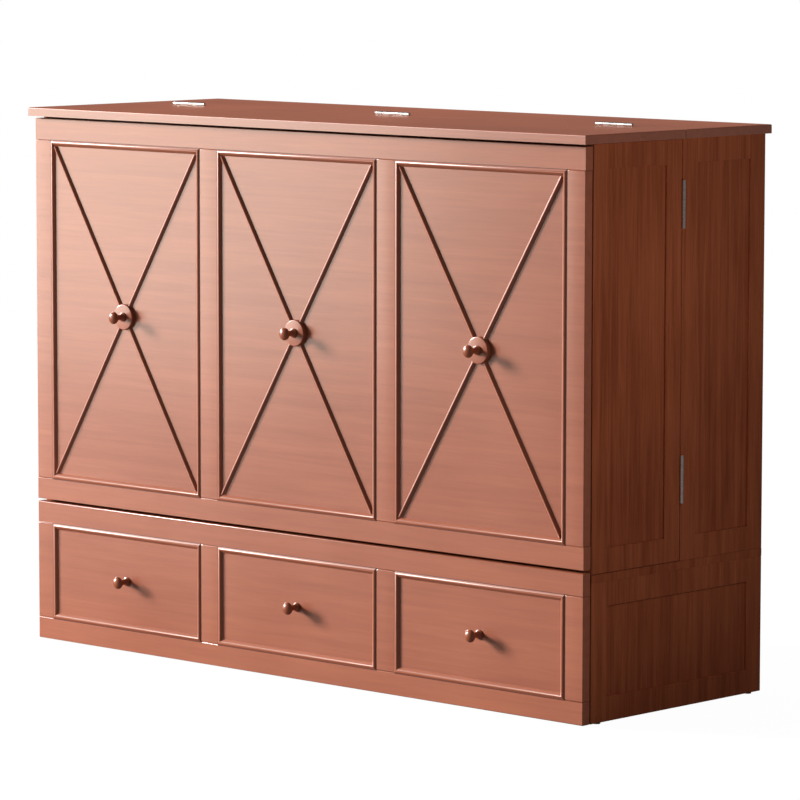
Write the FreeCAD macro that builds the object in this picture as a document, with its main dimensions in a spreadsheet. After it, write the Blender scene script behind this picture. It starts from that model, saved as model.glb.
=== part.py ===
import FreeCAD, Part
import math
import os
import re

# Cabinet bed.  Millimetres, X to the viewer's right, the front faces -Y, Z up.
# The origin is under the middle of the bounding box, on the floor.
# Depths in the sizes are counted from the outer face of the folding front.

os.makedirs("parts", exist_ok=True)
doc = FreeCAD.newDocument("cabinet_bed")
sheet = doc.addObject("Spreadsheet::Sheet", "Dimensions")

SIZES = {
    # carcase
    "body_width": 1626.0,
    "body_depth": 575.0,
    "top_height": 1203.0,
    "top_thickness": 19.0,
    "top_side_overhang": 10.0,
    "top_front_overhang": 13.0,
    "top_back_overhang": 8.0,
    "top_edge_radius": 2.5,
    "floor_clearance": 3.0,
    "side_thickness": 20.0,
    "side_rail_width": 51.0,
    "side_stile_width": 49.0,
    "side_panel_recess": 4.0,
    "side_panel_thickness": 10.0,
    "deck_top": 309.0,
    "deck_thickness": 17.0,
    "wing_floor_gap": 1.0,
    "seam_depth": 304.0,
    "seam_gap": 2.0,
    "fold_depth": 302.0,
    "back_thickness": 6.0,
    "back_setback": 9.0,
    "back_rail_width": 60.0,
    "back_rail_thickness": 20.0,
    "base_rail_height": 36.0,
    "base_rail_thickness": 20.0,
    "glide_diameter": 16.0,
    "glide_inset": 30.0,
    # decorative fronts
    "front_thickness": 22.0,
    "front_gap": 3.0,
    "drawer_front_top": 315.0,
    "reveal": 6.0,
    "lid_reveal": 5.0,
    "front_rail_width": 48.0,
    "front_stile_width": 49.5,
    "mullion_width": 54.0,
    "seam_chamfer": 1.0,
    "heel_chamfer": 4.0,
    "field_recess": 3.0,
    "field_thickness": 12.0,
    "bead_width": 12.0,
    "bead_rise": 1.5,
    "bead_flank": 1.0,
    "cross_width": 11.0,
    "rosette_diameter": 57.0,
    "rosette_rise": 5.5,
    "rosette_round": 2.0,
    "knob_reach": 42.0,
    "drawer_knob_reach": 33.5,
    "knob_diameter": 27.0,
    "knob_head": 16.0,
    "knob_neck": 12.0,
    "knob_flare": 7.0,
    "collar_diameter": 20.0,
    "collar_height": 3.0,
    # folding deck
    "pivot_depth": 8.0,
    "pivot_rise": 12.0,
    "deck_depth": 45.0,
    "fold_clearance": 1.0,
    "slat_thickness": 12.0,
    "slat_width": 70.0,
    "mid_slat_count": 8.0,
    "mid_slat_start": 20.0,
    "batten_width": 40.0,
    "cheek_thickness": 18.0,
    "cheek_side_gap": 4.0,
    "cheek_height": 38.0,
    "cheek_end_gap": 4.0,
    "foot_pivot_drop": 18.0,
    "foot_length": 420.0,
    "foot_side_gap": 4.0,
    "foot_rail_thickness": 20.0,
    "foot_slat_thickness": 11.0,
    "notch_depth": 1.5,
    "notch_play": 1.5,
    "foot_rail_width": 35.0,
    "foot_rail_start": 24.0,
    "foot_outer_rail": 316.0,
    "extension_rail_width": 28.0,
    "extension_tail": 80.0,
    "runner_gap": 1.0,
    "lengthwise_slat_count": 13.0,
    "plate_thickness": 3.0,
    "plate_reach": 60.0,
    "plate_eye_radius": 8.0,
    "plate_neck": 20.0,
    "plate_eye_gap": 2.0,
    "pivot_pin_diameter": 6.0,
    "pivot_pin_seat": 4.0,
    "foot_pin_diameter": 8.0,
    "foot_pin_proud": 3.0,
    "pin_clearance": 0.08,
    "arm_thickness": 4.0,
    "arm_gap": 5.0,
    "arm_nose_radius": 4.5,
    "arm_height": 45.0,
    "arm_foot": 70.0,
    "arm_relief": 1.1,
    "arm_face_inset": 1.0,
    "bearer_start": 66.0,
    "bearer_thickness": 20.0,
    "head_slat_count": 5.0,
    # legs
    "leg_diameter": 20.0,
    "leg_tube_wall": 1.5,
    "leg_gap": 2.0,
    "leg_floor_gap": 1.0,
    "near_leg_inset": 24.0,
    "far_leg_inset": 14.0,
    "near_leg_side": 155.0,
    "far_leg_side": 75.0,
    "bearing_width": 24.0,
    "bearing_inset": 72.0,
    "bearing_wall": 4.0,
    "leg_cap_wall": 1.5,
    "leg_cap_height": 18.0,
    # hinges
    "hinge_length": 100.0,
    "knuckle_radius": 3.6,
    "knuckle_gap": 0.3,
    "hinge_leaf": 0.85,
    "hinge_leaf_depth": 15.0,
    "hinge_leaf_gap": 0.1,
    "hinge_leaf_drop": 1.0,
    "hinge_pin_radius": 1.6,
    "hinge_pin_clearance": 0.03,
    "lid_hinge_inset": 183.0,
    "wing_hinge_drop": 134.0,
    "wing_hinge_rise": 170.0,
    "pad_thickness": 0.6,
    "pad_diameter": 14.0,
    "pad_gap": 0.4,
    "bumper_diameter": 12.0,
    "bumper_gap": 1.4,
    # drawer
    "drawer_box_bottom": 60.0,
    "drawer_box_height": 190.0,
    "drawer_box_depth": 500.0,
    "drawer_board": 12.0,
    "drawer_bottom_rise": 8.0,
    "drawer_bottom_thickness": 6.0,
    "groove_depth": 4.0,
    "slide_gap": 15.0,
    "slide_height": 40.0,
    "slide_rise": 70.0,
    "slide_wall": 2.0,
    "slide_play": 0.5,
    "slide_lip": 5.25,
    "slide_end_gap": 10.0,
    # how far a cutting tool runs past what it cuts
    "cut_overrun": 1.0,
}

for row, (name, value) in enumerate(SIZES.items(), 1):
    sheet.set("A%d" % row, name)
    sheet.set("B%d" % row, str(value))
    sheet.setAlias("B%d" % row, name)
doc.recompute()

X_AXIS = FreeCAD.Vector(1, 0, 0)
Y_AXIS = FreeCAD.Vector(0, 1, 0)
Z_AXIS = FreeCAD.Vector(0, 0, 1)


def bound(text):
    """An expression in size names, with each name pointed at its cell."""
    return re.sub(r"[a-z_]+", lambda m: "Dimensions." + m.group(0) if m.group(0) in SIZES else m.group(0), text)


def size(name):
    """The present value of one size."""
    return float(sheet.get(name))


def drive(obj, **texts):
    """Binds properties of an object to expressions; x, y and z are its place."""
    paths = {"x": "Placement.Base.x", "y": "Placement.Base.y", "z": "Placement.Base.z",
             "turn": "Placement.Rotation.Angle"}
    for key, text in texts.items():
        obj.setExpression(paths.get(key, key), bound(text))
    return obj


def board(name, x, y, z, sx, sy, sz):
    """A straight board from its low corner and its three sizes."""
    box = doc.addObject("Part::Box", name)
    return drive(box, Length=sx, Width=sy, Height=sz, x=x, y=y, z=z)


def pair(name, inner, sx, y, z, sy, sz):
    """Two boards mirrored left and right, from the inner face outwards."""
    left = board(name + "_left", "-(%s) - (%s)" % (inner, sx), y, z, sx, sy, sz)
    right = board(name + "_right", inner, y, z, sx, sy, sz)
    return [left, right]


def rod(name, radius, length, x, y, z, axis=X_AXIS):
    """A round bar from the middle of its first end."""
    bar = doc.addObject("Part::Cylinder", name)
    bar.Placement = FreeCAD.Placement(FreeCAD.Vector(), FreeCAD.Rotation(Z_AXIS, axis))
    return drive(bar, Radius=radius, Height=length, x=x, y=y, z=z)


def facet_rod(name, sides, radius, length, x, y, z, axis=X_AXIS):
    """A small round bar made plainer: flat sides whose corners lie on the circle."""
    bar = doc.addObject("Part::Prism", name)
    bar.Polygon = sides
    bar.Placement = FreeCAD.Placement(FreeCAD.Vector(), FreeCAD.Rotation(Z_AXIS, axis))
    return drive(bar, Circumradius=radius, Height=length, x=x, y=y, z=z)


def boolean(kind, name, base, tool):
    """One body cut from, joined to or shared with another."""
    result = doc.addObject("Part::" + kind, name)
    result.Base = base
    result.Tool = tool
    return result


def fuse_all(name, members):
    """Members welded into one piece."""
    result = doc.addObject("Part::MultiFuse", name)
    result.Shapes = members
    return result


def group(label, members):
    """Loose solids that share one node."""
    result = doc.addObject("Part::Compound", label)
    result.Links = members
    return result


def new_body(name, **place):
    """A body whose origin is driven by expressions; it may hold loose copies."""
    body = doc.addObject("PartDesign::Body", name)
    body.AllowCompound = True
    return drive(body, **place)


def origin_part(body, role):
    """One of the body's own planes or axes."""
    return next(item for item in body.Origin.OriginFeatures if item.Role == role)


# A sketch starts from a regular polygon of this radius, and its next loop this far along.
START_RADIUS = 100.0
START_STEP = 300.0


def outline(body, role, name, loops):
    """Closed outlines whose corners are held by expressions."""
    sketch = body.newObject("Sketcher::SketchObject", name)
    sketch.AttachmentSupport = [(origin_part(body, role), "")]
    sketch.MapMode = "FlatFace"
    rise = 0
    for corners in loops:
        first = sketch.GeometryCount
        count = len(corners)
        for index in range(count):
            turn = 2 * math.pi * index / count
            nxt = 2 * math.pi * (index + 1) / count
            start = FreeCAD.Vector(START_RADIUS * math.cos(turn) + rise, START_RADIUS * math.sin(turn), 0)
            end = FreeCAD.Vector(START_RADIUS * math.cos(nxt) + rise, START_RADIUS * math.sin(nxt), 0)
            sketch.addGeometry(Part.LineSegment(start, end), False)
        hold_corners(sketch, first, corners)
        rise = rise + START_STEP
    return sketch


def hold_corners(sketch, first, corners):
    """Ties each line's start to its corner and its end to the next line."""
    import Sketcher
    count = len(corners)
    for index, (across, up) in enumerate(corners):
        line = first + index
        sketch.addConstraint(Sketcher.Constraint("Coincident", line, 2, first + (index + 1) % count, 1))
        for kind, text in (("DistanceX", across), ("DistanceY", up)):
            spot = sketch.addConstraint(Sketcher.Constraint(kind, -1, 1, line, 1, 1.0))
            sketch.setExpression("Constraints[%d]" % spot, bound(text))


def arch(width):
    """Radius of the low arch over a bead of this width, from its chord and its height."""
    sag = "(bead_rise + field_recess - bead_flank)"
    return "((%s / 2) ^ 2 + %s ^ 2) / (2 * %s)" % (width, sag, sag)


def bead_sketch(body, name, width, upright=False):
    """A low round: short flanks from the field, then one arch, forward of the body's origin.

    A level bead's section lies on YZ, and an upright bead's on XY.
    """
    import Sketcher
    sketch = body.newObject("Sketcher::SketchObject", name)
    sketch.AttachmentSupport = [(origin_part(body, "XY_Plane" if upright else "YZ_Plane"), "")]
    sketch.MapMode = "FlatFace"
    # First guesses: the arch's radius, how far its centre lies behind, its half angle and half width.
    radius, behind, open_angle, half = 6.9, 5.4, 1.056, 6.0
    near, far = 2.0, 3.0

    def spot(forward, across):
        return FreeCAD.Vector(across, forward, 0) if upright else FreeCAD.Vector(forward, -across, 0)

    middle = 3 * math.pi / 2 if upright else math.pi
    circle = Part.Circle(spot(behind, 0), FreeCAD.Vector(0, 0, 1), radius)
    sketch.addGeometry(Part.ArcOfCircle(circle, middle - open_angle, middle + open_angle), False)
    sketch.addGeometry(Part.LineSegment(spot(near, half), spot(far, half)), False)
    sketch.addGeometry(Part.LineSegment(spot(far, half), spot(far, -half)), False)
    sketch.addGeometry(Part.LineSegment(spot(far, -half), spot(near, -half)), False)
    for first, end, second, start in ((0, 2, 1, 1), (1, 2, 2, 1), (2, 2, 3, 1), (3, 2, 0, 1)):
        sketch.addConstraint(Sketcher.Constraint("Coincident", first, end, second, start))
    along, across = ("Vertical", "Horizontal") if upright else ("Horizontal", "Vertical")
    sketch.addConstraint(Sketcher.Constraint(across, 2))
    sketch.addConstraint(Sketcher.Constraint(along, 1))
    sketch.addConstraint(Sketcher.Constraint(along, 3))
    sketch.addConstraint(Sketcher.Constraint("PointOnObject", 0, 3, -2 if upright else -1))
    distance = "DistanceY" if upright else "DistanceX"
    held = (
        (Sketcher.Constraint(distance, -1, 1, 0, 3, behind), "%s - bead_rise" % arch(width)),
        (Sketcher.Constraint("Radius", 0, radius), arch(width)),
        (Sketcher.Constraint(distance, -1, 1, 1, 2, far), "field_recess"),
        (Sketcher.Constraint(distance, -1, 1, 0, 1, near), "field_recess - bead_flank"),
    )
    for rule, text in held:
        place = sketch.addConstraint(rule)
        sketch.setExpression("Constraints[%d]" % place, bound(text))
    sketch.addConstraint(Sketcher.Constraint(across, 0, 1, 0, 2))
    return sketch


def pad(body, sketch, length, both_ways=False, reverse=False):
    """Thickens an outline."""
    feature = body.newObject("PartDesign::Pad", sketch.Name + "_pad")
    feature.Profile = sketch
    feature.Midplane = both_ways
    feature.Reversed = reverse
    feature.setExpression("Length", bound(length))
    return feature


def pocket_through(body, sketch):
    """Cuts an outline right through, both ways."""
    feature = body.newObject("PartDesign::Pocket", sketch.Name + "_pocket")
    feature.Profile = sketch
    feature.Type = "ThroughAll"
    feature.Midplane = True
    return feature


def row_of_three(body, originals, length):
    """Repeats features three times along X and makes that the body's tip."""
    feature = body.newObject("PartDesign::LinearPattern", body.Name + "_row")
    feature.Originals = originals
    feature.Direction = (origin_part(body, "X_Axis"), [""])
    feature.Occurrences = 3
    feature.setExpression("Length", bound(length))
    body.Tip = feature
    return feature


# Reference heights and depths, all from the sizes.
FRONT = "((knob_reach - body_depth - top_back_overhang) / 2)"
HALF = "(body_width / 2)"
LID_UNDER = "(top_height - top_thickness)"
PANEL_LOW = "(drawer_front_top + reveal)"
PANEL_HIGH = "(top_height - top_thickness - lid_reveal)"
SIDE_START = "(front_thickness + front_gap)"
INNER = "(body_width / 2 - side_thickness)"
FIELD_WIDTH = "((body_width - 2 * front_stile_width - 2 * mullion_width) / 3)"
FIELD_PITCH = "(%s + mullion_width)" % FIELD_WIDTH
PIVOT_Z = "(%s + pivot_rise)" % PANEL_LOW
BACK_FACE = "(body_depth - back_setback - back_thickness)"
ARM_X = "(%s - arm_gap - arm_thickness)" % INNER
PIN_LENGTH = "(arm_thickness + 2 * arm_relief + 2 * pivot_pin_seat)"


def at_depth(text):
    """A depth behind the front's outer face, as a place along Y."""
    return "%s + %s" % (FRONT, text)


def pin_start(side):
    """Where the pivot pin begins along X."""
    if side == "left":
        return "-%s - arm_thickness - arm_relief - pivot_pin_seat" % ARM_X
    return "%s - arm_relief - pivot_pin_seat" % ARM_X


nodes = []


def node(obj, label):
    """Names a finished piece and lists it for writing."""
    obj.Label = label
    nodes.append(obj)
    return obj


# ---------------------------------------------------------------- carcase
def side_frame(name, y, depth, z, height):
    """Two stiles with two rails between them, and the recessed panel, on both sides."""
    parts = []
    parts += pair(name + "_front_stile", INNER, "side_thickness", at_depth(y), z, "side_stile_width", height)
    parts += pair(name + "_rear_stile", INNER, "side_thickness",
                  at_depth("%s + %s - side_stile_width" % (y, depth)), z, "side_stile_width", height)
    rail_y = at_depth("%s + side_stile_width" % y)
    rail_len = "%s - 2 * side_stile_width" % depth
    parts += pair(name + "_low_rail", INNER, "side_thickness", rail_y, z, rail_len, "side_rail_width")
    parts += pair(name + "_high_rail", INNER, "side_thickness", rail_y,
                  "%s + %s - side_rail_width" % (z, height), rail_len, "side_rail_width")
    panels = pair(name + "_panel", "%s - side_panel_recess - side_panel_thickness" % HALF, "side_panel_thickness",
                  rail_y, "%s + side_rail_width" % z, rail_len, "%s - 2 * side_rail_width" % height)
    return parts, panels


base_height = "(deck_top - deck_thickness - floor_clearance)"
base_frame, base_panels = side_frame("base", SIDE_START, "(body_depth - %s)" % SIDE_START,
                                     "floor_clearance", base_height)
rear_start = "(seam_depth + seam_gap / 2)"
rear_frame, rear_panels = side_frame("rear", rear_start, "(body_depth - %s)" % rear_start, "deck_top",
                                     "(%s - deck_top)" % LID_UNDER)
node(group("side_frames", base_frame + rear_frame), "side_frames")
node(group("side_panels", base_panels + rear_panels), "side_panels")
node(board("deck_board", "-" + HALF, at_depth(SIDE_START), "deck_top - deck_thickness",
           "body_width", "body_depth - " + SIDE_START, "deck_thickness"), "deck_board")
node(board("base_back", "-" + INNER, at_depth(BACK_FACE), "floor_clearance",
           "2 * " + INNER, "back_thickness", base_height), "base_back")
node(board("base_front_rail", "-" + INNER, at_depth(SIDE_START), "floor_clearance",
           "2 * " + INNER, "base_rail_thickness", "base_rail_height"), "base_front_rail")
PAD_SIDES = 8
glide_y = (at_depth(SIDE_START + " + glide_inset"), at_depth("body_depth - glide_inset"))
glides = []
for index, place in enumerate(glide_y):
    for side, sign in (("left", "-"), ("right", "")):
        glides.append(facet_rod("glide_%s_%d" % (side, index), PAD_SIDES, "glide_diameter / 2", "floor_clearance",
                                "%s(%s - side_thickness / 2)" % (sign, HALF), place, "0", Z_AXIS))
node(group("floor_glides", glides), "floor_glides")
node(board("back_panel", "-" + INNER, at_depth(BACK_FACE), "deck_top",
           "2 * " + INNER, "back_thickness", LID_UNDER + " - deck_top"), "back_panel")
back_rail_y = at_depth(BACK_FACE + " - back_rail_thickness")
node(group("back_rails", [
    board("back_rail_high", "-" + INNER, back_rail_y, LID_UNDER + " - back_rail_width",
          "2 * " + INNER, "back_rail_thickness", "back_rail_width"),
    board("back_rail_low", "-" + INNER, back_rail_y, "deck_top",
          "2 * " + INNER, "back_rail_thickness", "back_rail_width"),
]), "back_rails")


def top_leaf(name, start, end):
    """A slab with its outer top edges eased."""
    body = new_body(name, z=LID_UNDER)
    half = HALF + " + top_side_overhang"
    sketch = outline(body, "XY_Plane", name + "_outline", [[
        ("-(%s)" % half, at_depth(start)), (half, at_depth(start)),
        (half, at_depth(end)), ("-(%s)" % half, at_depth(end))]])
    slab = pad(body, sketch, "top_thickness")
    doc.recompute()
    seam = size("fold_depth")
    shape = slab.Shape
    eased = []
    front_y = (size("knob_reach") - size("body_depth") - size("top_back_overhang")) / 2
    for number, edge in enumerate(shape.Edges, 1):
        box = edge.BoundBox
        flat = box.ZLength < 0.01
        at_seam = box.YLength < 0.01 and abs(box.YMin - front_y - seam) < size("seam_gap")
        if flat and box.ZMin > size("top_thickness") / 2 and not at_seam:
            eased.append("Edge%d" % number)
    fillet = body.newObject("PartDesign::Fillet", name + "_eased")
    fillet.Base = (slab, eased)
    fillet.setExpression("Radius", bound("top_edge_radius"))
    body.Tip = fillet
    return body


node(top_leaf("top_rear_leaf", "fold_depth + seam_gap / 2", "body_depth + top_back_overhang"), "top_rear_leaf")
node(top_leaf("top_front_leaf", "-top_front_overhang", "fold_depth - seam_gap / 2"), "top_front_leaf")

# Felt pads keep the front leaf off the wings.
pads = []
for side, sign in (("left", "-"), ("right", "")):
    for index, place in enumerate(("%s + side_stile_width" % SIDE_START, "fold_depth - side_stile_width")):
        pads.append(facet_rod("pad_%s_%d" % (side, index), PAD_SIDES, "pad_diameter / 2", "pad_thickness",
                              "%s(%s - side_thickness / 2)" % (sign, HALF), at_depth(place),
                              LID_UNDER + " - pad_thickness", Z_AXIS))
node(group("lid_pads", pads), "lid_pads")

# ---------------------------------------------------------------- wings
wing_z = "(deck_top + wing_floor_gap)"
wing_height = "(%s - pad_thickness - pad_gap - %s)" % (LID_UNDER, wing_z)
wing_depth = "(seam_depth - seam_gap / 2 - %s)" % SIDE_START
wing_frame, wing_panels = side_frame("wing", SIDE_START, wing_depth, wing_z, wing_height)
for index, side in enumerate(("left", "right")):
    node(group(side + "_wing_frame", wing_frame[index::2]), side + "_wing_frame")
    wing_panels[index].Label = side + "_wing_panel"
    nodes.append(wing_panels[index])


# ---------------------------------------------------------------- decorative fronts
def eased_board(name, faces, x, y, z, sx, sy, sz, heel=False):
    """A board whose long front edges are chamfered where it meets a neighbour.

    The heel is the low edge behind, which swings past the carcase as the front folds down.
    """
    box = board(name, x, y, z, sx, sy, sz)
    doc.recompute()
    shape = box.Shape
    low = shape.BoundBox
    picked = []
    for number, edge in enumerate(shape.Edges, 1):
        span = edge.BoundBox
        if heel and span.YMin > low.YMax - 0.01 and span.ZMax < low.ZMin + 0.01:
            picked.append((number, size("heel_chamfer"), size("heel_chamfer")))
        if span.YMax - low.YMin > 0.01:
            continue
        tests = {"top": span.ZMin > low.ZMax - 0.01, "bottom": span.ZMax < low.ZMin + 0.01,
                 "left": span.XMax < low.XMin + 0.01, "right": span.XMin > low.XMax - 0.01}
        if any(tests[face] for face in faces):
            picked.append((number, size("seam_chamfer"), size("seam_chamfer")))
    chamfer = doc.addObject("Part::Chamfer", name + "_eased")
    chamfer.Base = box
    chamfer.Edges = picked
    return chamfer


def front_frame(name, low, high, folds=False):
    """Rails right across, stiles and mullions between them, and the three fields."""
    rails = []
    for end, z in (("low", low), ("high", "%s - front_rail_width" % high)):
        rails.append(eased_board("%s_%s_rail" % (name, end), ("top", "bottom"), "-" + HALF, at_depth("0"), z,
                                 "body_width", "front_thickness", "front_rail_width", folds and end == "low"))
    z = "%s + front_rail_width" % low
    height = "%s - %s - 2 * front_rail_width" % (high, low)
    stiles = [
        eased_board(name + "_left_stile", ("top", "bottom"), "-" + HALF, at_depth("0"), z,
                    "front_stile_width", "front_thickness", height),
        eased_board(name + "_right_stile", ("top", "bottom"), HALF + " - front_stile_width", at_depth("0"), z,
                    "front_stile_width", "front_thickness", height),
        eased_board(name + "_left_mullion", ("top", "bottom"), "-%s / 2 - mullion_width" % FIELD_WIDTH,
                    at_depth("0"), z, "mullion_width", "front_thickness", height),
        eased_board(name + "_right_mullion", ("top", "bottom"), FIELD_WIDTH + " / 2",
                    at_depth("0"), z, "mullion_width", "front_thickness", height),
    ]
    fields = []
    for index in (-1, 0, 1):
        fields.append(board("%s_field_%d" % (name, index + 2),
                            "%d * %s - %s / 2" % (index, FIELD_PITCH, FIELD_WIDTH), at_depth("field_recess"), z,
                            FIELD_WIDTH, "field_thickness", height))
    return rails, stiles, fields


def bead_sticks(name, low, high):
    """Mitred bead sticks round the three fields: the rails' bodies and the stiles' bodies."""
    middle = "(%s + %s) / 2" % (low, high)
    height = "(%s - %s - 2 * front_rail_width)" % (high, low)
    sticks = []
    for end, sign in (("low", "-"), ("high", "")):
        body = new_body("%s_bead_%s" % (name, end), x="-" + FIELD_PITCH, y=FRONT,
                        z="%s + %s(%s - bead_width) / 2" % (middle, sign, height))
        bar = pad(body, bead_sketch(body, body.Name + "_section", "bead_width"), FIELD_WIDTH, both_ways=True)
        out = "%s bead_width / 2" % ("-" if sign else "")
        inn = "%s bead_width / 2" % ("" if sign else "-")
        # The mitre runs from the outer corner to the inner corner of each end.
        mitres = []
        for hand in ("-", ""):
            tip = "%s%s / 2" % (hand, FIELD_WIDTH)
            root = "%s(%s / 2 - bead_width)" % (hand, FIELD_WIDTH)
            past = "%s(%s / 2 + bead_width)" % (hand, FIELD_WIDTH)
            mitres.append([(tip, inn), (past, inn), (past, out), (root, out)])
        cut = pocket_through(body, outline(body, "XZ_Plane", body.Name + "_mitres", mitres))
        row_of_three(body, [bar, cut], "2 * " + FIELD_PITCH)
        sticks.append(body)
    for hand_name, hand in (("left", "-"), ("right", "")):
        body = new_body("%s_bead_%s" % (name, hand_name), y=FRONT,
                        x="-%s + %s(%s - bead_width) / 2" % (FIELD_PITCH, hand, FIELD_WIDTH), z=middle)
        sticks.append(body)
        upright_bead(body, height, hand)
    return sticks


def upright_bead(body, height, hand):
    """The upright stick, mitred at both ends, three times."""
    bar = pad(body, bead_sketch(body, body.Name + "_section", "bead_width", upright=True), height, both_ways=True)
    out = "%s bead_width / 2" % ("-" if hand else "")
    inn = "%s bead_width / 2" % ("" if hand else "-")
    mitres = []
    for end in ("-", ""):
        tip = "%s%s / 2" % (end, height)
        root = "%s(%s / 2 - bead_width)" % (end, height)
        past = "%s(%s / 2 + bead_width)" % (end, height)
        mitres.append([(inn, tip), (inn, past), (out, past), (out, root)])
    cut = pocket_through(body, outline(body, "XZ_Plane", body.Name + "_mitres", mitres))
    row_of_three(body, [bar, cut], "2 * " + FIELD_PITCH)


def crosses(low, high):
    """Two low round bars from corner to corner of each field, coped round the rosette."""
    middle = "(%s + %s) / 2" % (low, high)
    wide = "(%s - 2 * bead_width)" % FIELD_WIDTH
    tall = "(%s - %s - 2 * front_rail_width - 2 * bead_width)" % (high, low)
    bars = []
    for index in (-1, 0, 1):
        centre = "%d * %s" % (index, FIELD_PITCH)
        for lean, sign in (("rising", "-"), ("falling", "")):
            name = "cross_%s_%d" % (lean, index + 2)
            body = new_body(name)
            body.Placement = FreeCAD.Placement(FreeCAD.Vector(), FreeCAD.Rotation(Y_AXIS, 1))
            drive(body, x=centre, y=FRONT, z=middle, turn="%satan(%s / %s)" % (sign, tall, wide))
            section = bead_sketch(body, name + "_section", "cross_width")
            pad(body, section, "sqrt(%s ^ 2 + %s ^ 2) + 4 * cross_width" % (wide, tall), both_ways=True)
            window = board(name + "_window", "%s - %s / 2" % (centre, wide), at_depth("-2 * bead_rise"),
                           "%s - %s / 2" % (middle, tall), wide, "2 * bead_rise + field_recess", tall)
            trimmed = boolean("Common", name + "_trimmed", body, window)
            seat = rod(name + "_seat", "rosette_diameter / 2", "2 * bead_rise + field_recess",
                       centre, at_depth("-2 * bead_rise"), middle, Y_AXIS)
            bars.append(boolean("Cut", name + "_coped", trimmed, seat))
    return bars


def turned(name, z, corners):
    """Three turned pieces whose axis runs forward; corners are (radius, depth)."""
    body = new_body(name, x="-" + FIELD_PITCH, y=FRONT, z=z)
    sketch = outline(body, "XY_Plane", name + "_profile", [corners])
    turn = body.newObject("PartDesign::Revolution", name + "_turned")
    turn.Profile = sketch
    turn.ReferenceAxis = (origin_part(body, "Y_Axis"), [""])
    turn.Angle = 360
    row_of_three(body, [turn], "2 * " + FIELD_PITCH)
    return body


# Where the flattened head's flats meet, as angles round its section from the tip.
HEAD_ANGLES = (45, 85)


def knob_profile(seat, reach):
    """A flattened ball on a neck that flares to a collar; seat is the depth of its back."""
    tip = "-" + reach
    corners = [("0", seat), ("0", tip)]
    for angle in HEAD_ANGLES:
        corners.append(("knob_diameter / 2 * %.6f" % math.sin(math.radians(angle)),
                        "%s + knob_head / 2 * %.6f" % (tip, 1 - math.cos(math.radians(angle)))))
    corners.append(("knob_neck / 2", tip + " + knob_head / 2 * (1 + sqrt(1 - (knob_neck / knob_diameter) ^ 2))"))
    corners.append(("knob_neck / 2", seat + " - collar_height - knob_flare"))
    corners.append(("collar_diameter / 2", seat + " - collar_height"))
    corners.append(("collar_diameter / 2", seat))
    return corners


rails, stiles, fields = front_frame("front", PANEL_LOW, PANEL_HIGH, folds=True)
# The bottom rail is slotted from behind and below for the pivot arms, and bored for their pins.
for side in ("left", "right"):
    slot_x = "-%s - arm_thickness - arm_relief" % ARM_X if side == "left" else "%s - arm_relief" % ARM_X
    slot = board("arm_slot_" + side, slot_x, at_depth("pivot_depth - arm_nose_radius - arm_relief"),
                 "%s - arm_relief" % PANEL_LOW, "arm_thickness + 2 * arm_relief", "2 * front_thickness",
                 "pivot_rise + arm_nose_radius + 2 * arm_relief")
    pin_hole = rod("pivot_hole_" + side, "pivot_pin_diameter / 2", PIN_LENGTH, pin_start(side),
                   at_depth("pivot_depth"), PIVOT_Z)
    rails[0] = boolean("Cut", "front_low_rail_slot_" + side, rails[0], slot)
    rails[0] = boolean("Cut", "front_low_rail_bore_" + side, rails[0], pin_hole)
node(group("front_rails", rails), "front_rails")
node(group("front_stiles", stiles), "front_stiles")
node(group("front_fields", fields), "front_fields")
node(group("front_beads", bead_sticks("front", PANEL_LOW, PANEL_HIGH)), "front_beads")
node(group("front_crosses", crosses(PANEL_LOW, PANEL_HIGH)), "front_crosses")
front_middle = "(%s + %s) / 2" % (PANEL_LOW, PANEL_HIGH)
node(turned("front_rosettes", front_middle, [
    ("0", "field_recess"), ("rosette_diameter / 2", "field_recess"),
    ("rosette_diameter / 2", "rosette_round - rosette_rise"),
    ("rosette_diameter / 2 - rosette_round", "-rosette_rise"), ("0", "-rosette_rise")]), "front_rosettes")
node(turned("front_knobs", front_middle, knob_profile("-rosette_rise", "knob_reach")), "front_knobs")

DRAWER_LOW = "floor_clearance"
DRAWER_HIGH = "drawer_front_top"
rails, stiles, fields = front_frame("drawer", DRAWER_LOW, DRAWER_HIGH)
node(group("drawer_rails", rails), "drawer_rails")
node(group("drawer_stiles", stiles), "drawer_stiles")
node(group("drawer_fields", fields), "drawer_fields")
node(group("drawer_beads", bead_sticks("drawer", DRAWER_LOW, DRAWER_HIGH)), "drawer_beads")
node(turned("drawer_knobs", "(%s + %s) / 2" % (DRAWER_LOW, DRAWER_HIGH),
            knob_profile("field_recess", "drawer_knob_reach")), "drawer_knobs")

# ---------------------------------------------------------------- folding deck, middle part
cheek_low = PANEL_LOW
cheek_tall = "(%s - cheek_end_gap - %s)" % (PANEL_HIGH, PANEL_LOW)
HINGE_Z = "(%s - foot_pivot_drop)" % PANEL_HIGH
CHEEK_INNER = "(%s - cheek_side_gap - cheek_thickness)" % ARM_X
HINGE_DEPTH = "(deck_depth + fold_clearance)"
cheeks = []
for side, sign in (("left", "-"), ("right", "")):
    place = CHEEK_INNER if side == "right" else "-%s - cheek_thickness" % CHEEK_INNER
    blank = board("cheek_blank_" + side, place, at_depth("front_thickness"), cheek_low,
                  "cheek_thickness", "cheek_height", cheek_tall)
    bore = rod("cheek_bore_" + side, "foot_pin_diameter / 2 + pin_clearance",
               "cheek_thickness + 2 * cut_overrun", place + " - cut_overrun", at_depth(HINGE_DEPTH), HINGE_Z)
    cheeks.append(boolean("Cut", "cheek_" + side, blank, bore))
node(group("panel_cheeks", cheeks), "panel_cheeks")
batten_depth = "(deck_depth - slat_thickness - front_thickness)"
battens = []
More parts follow.
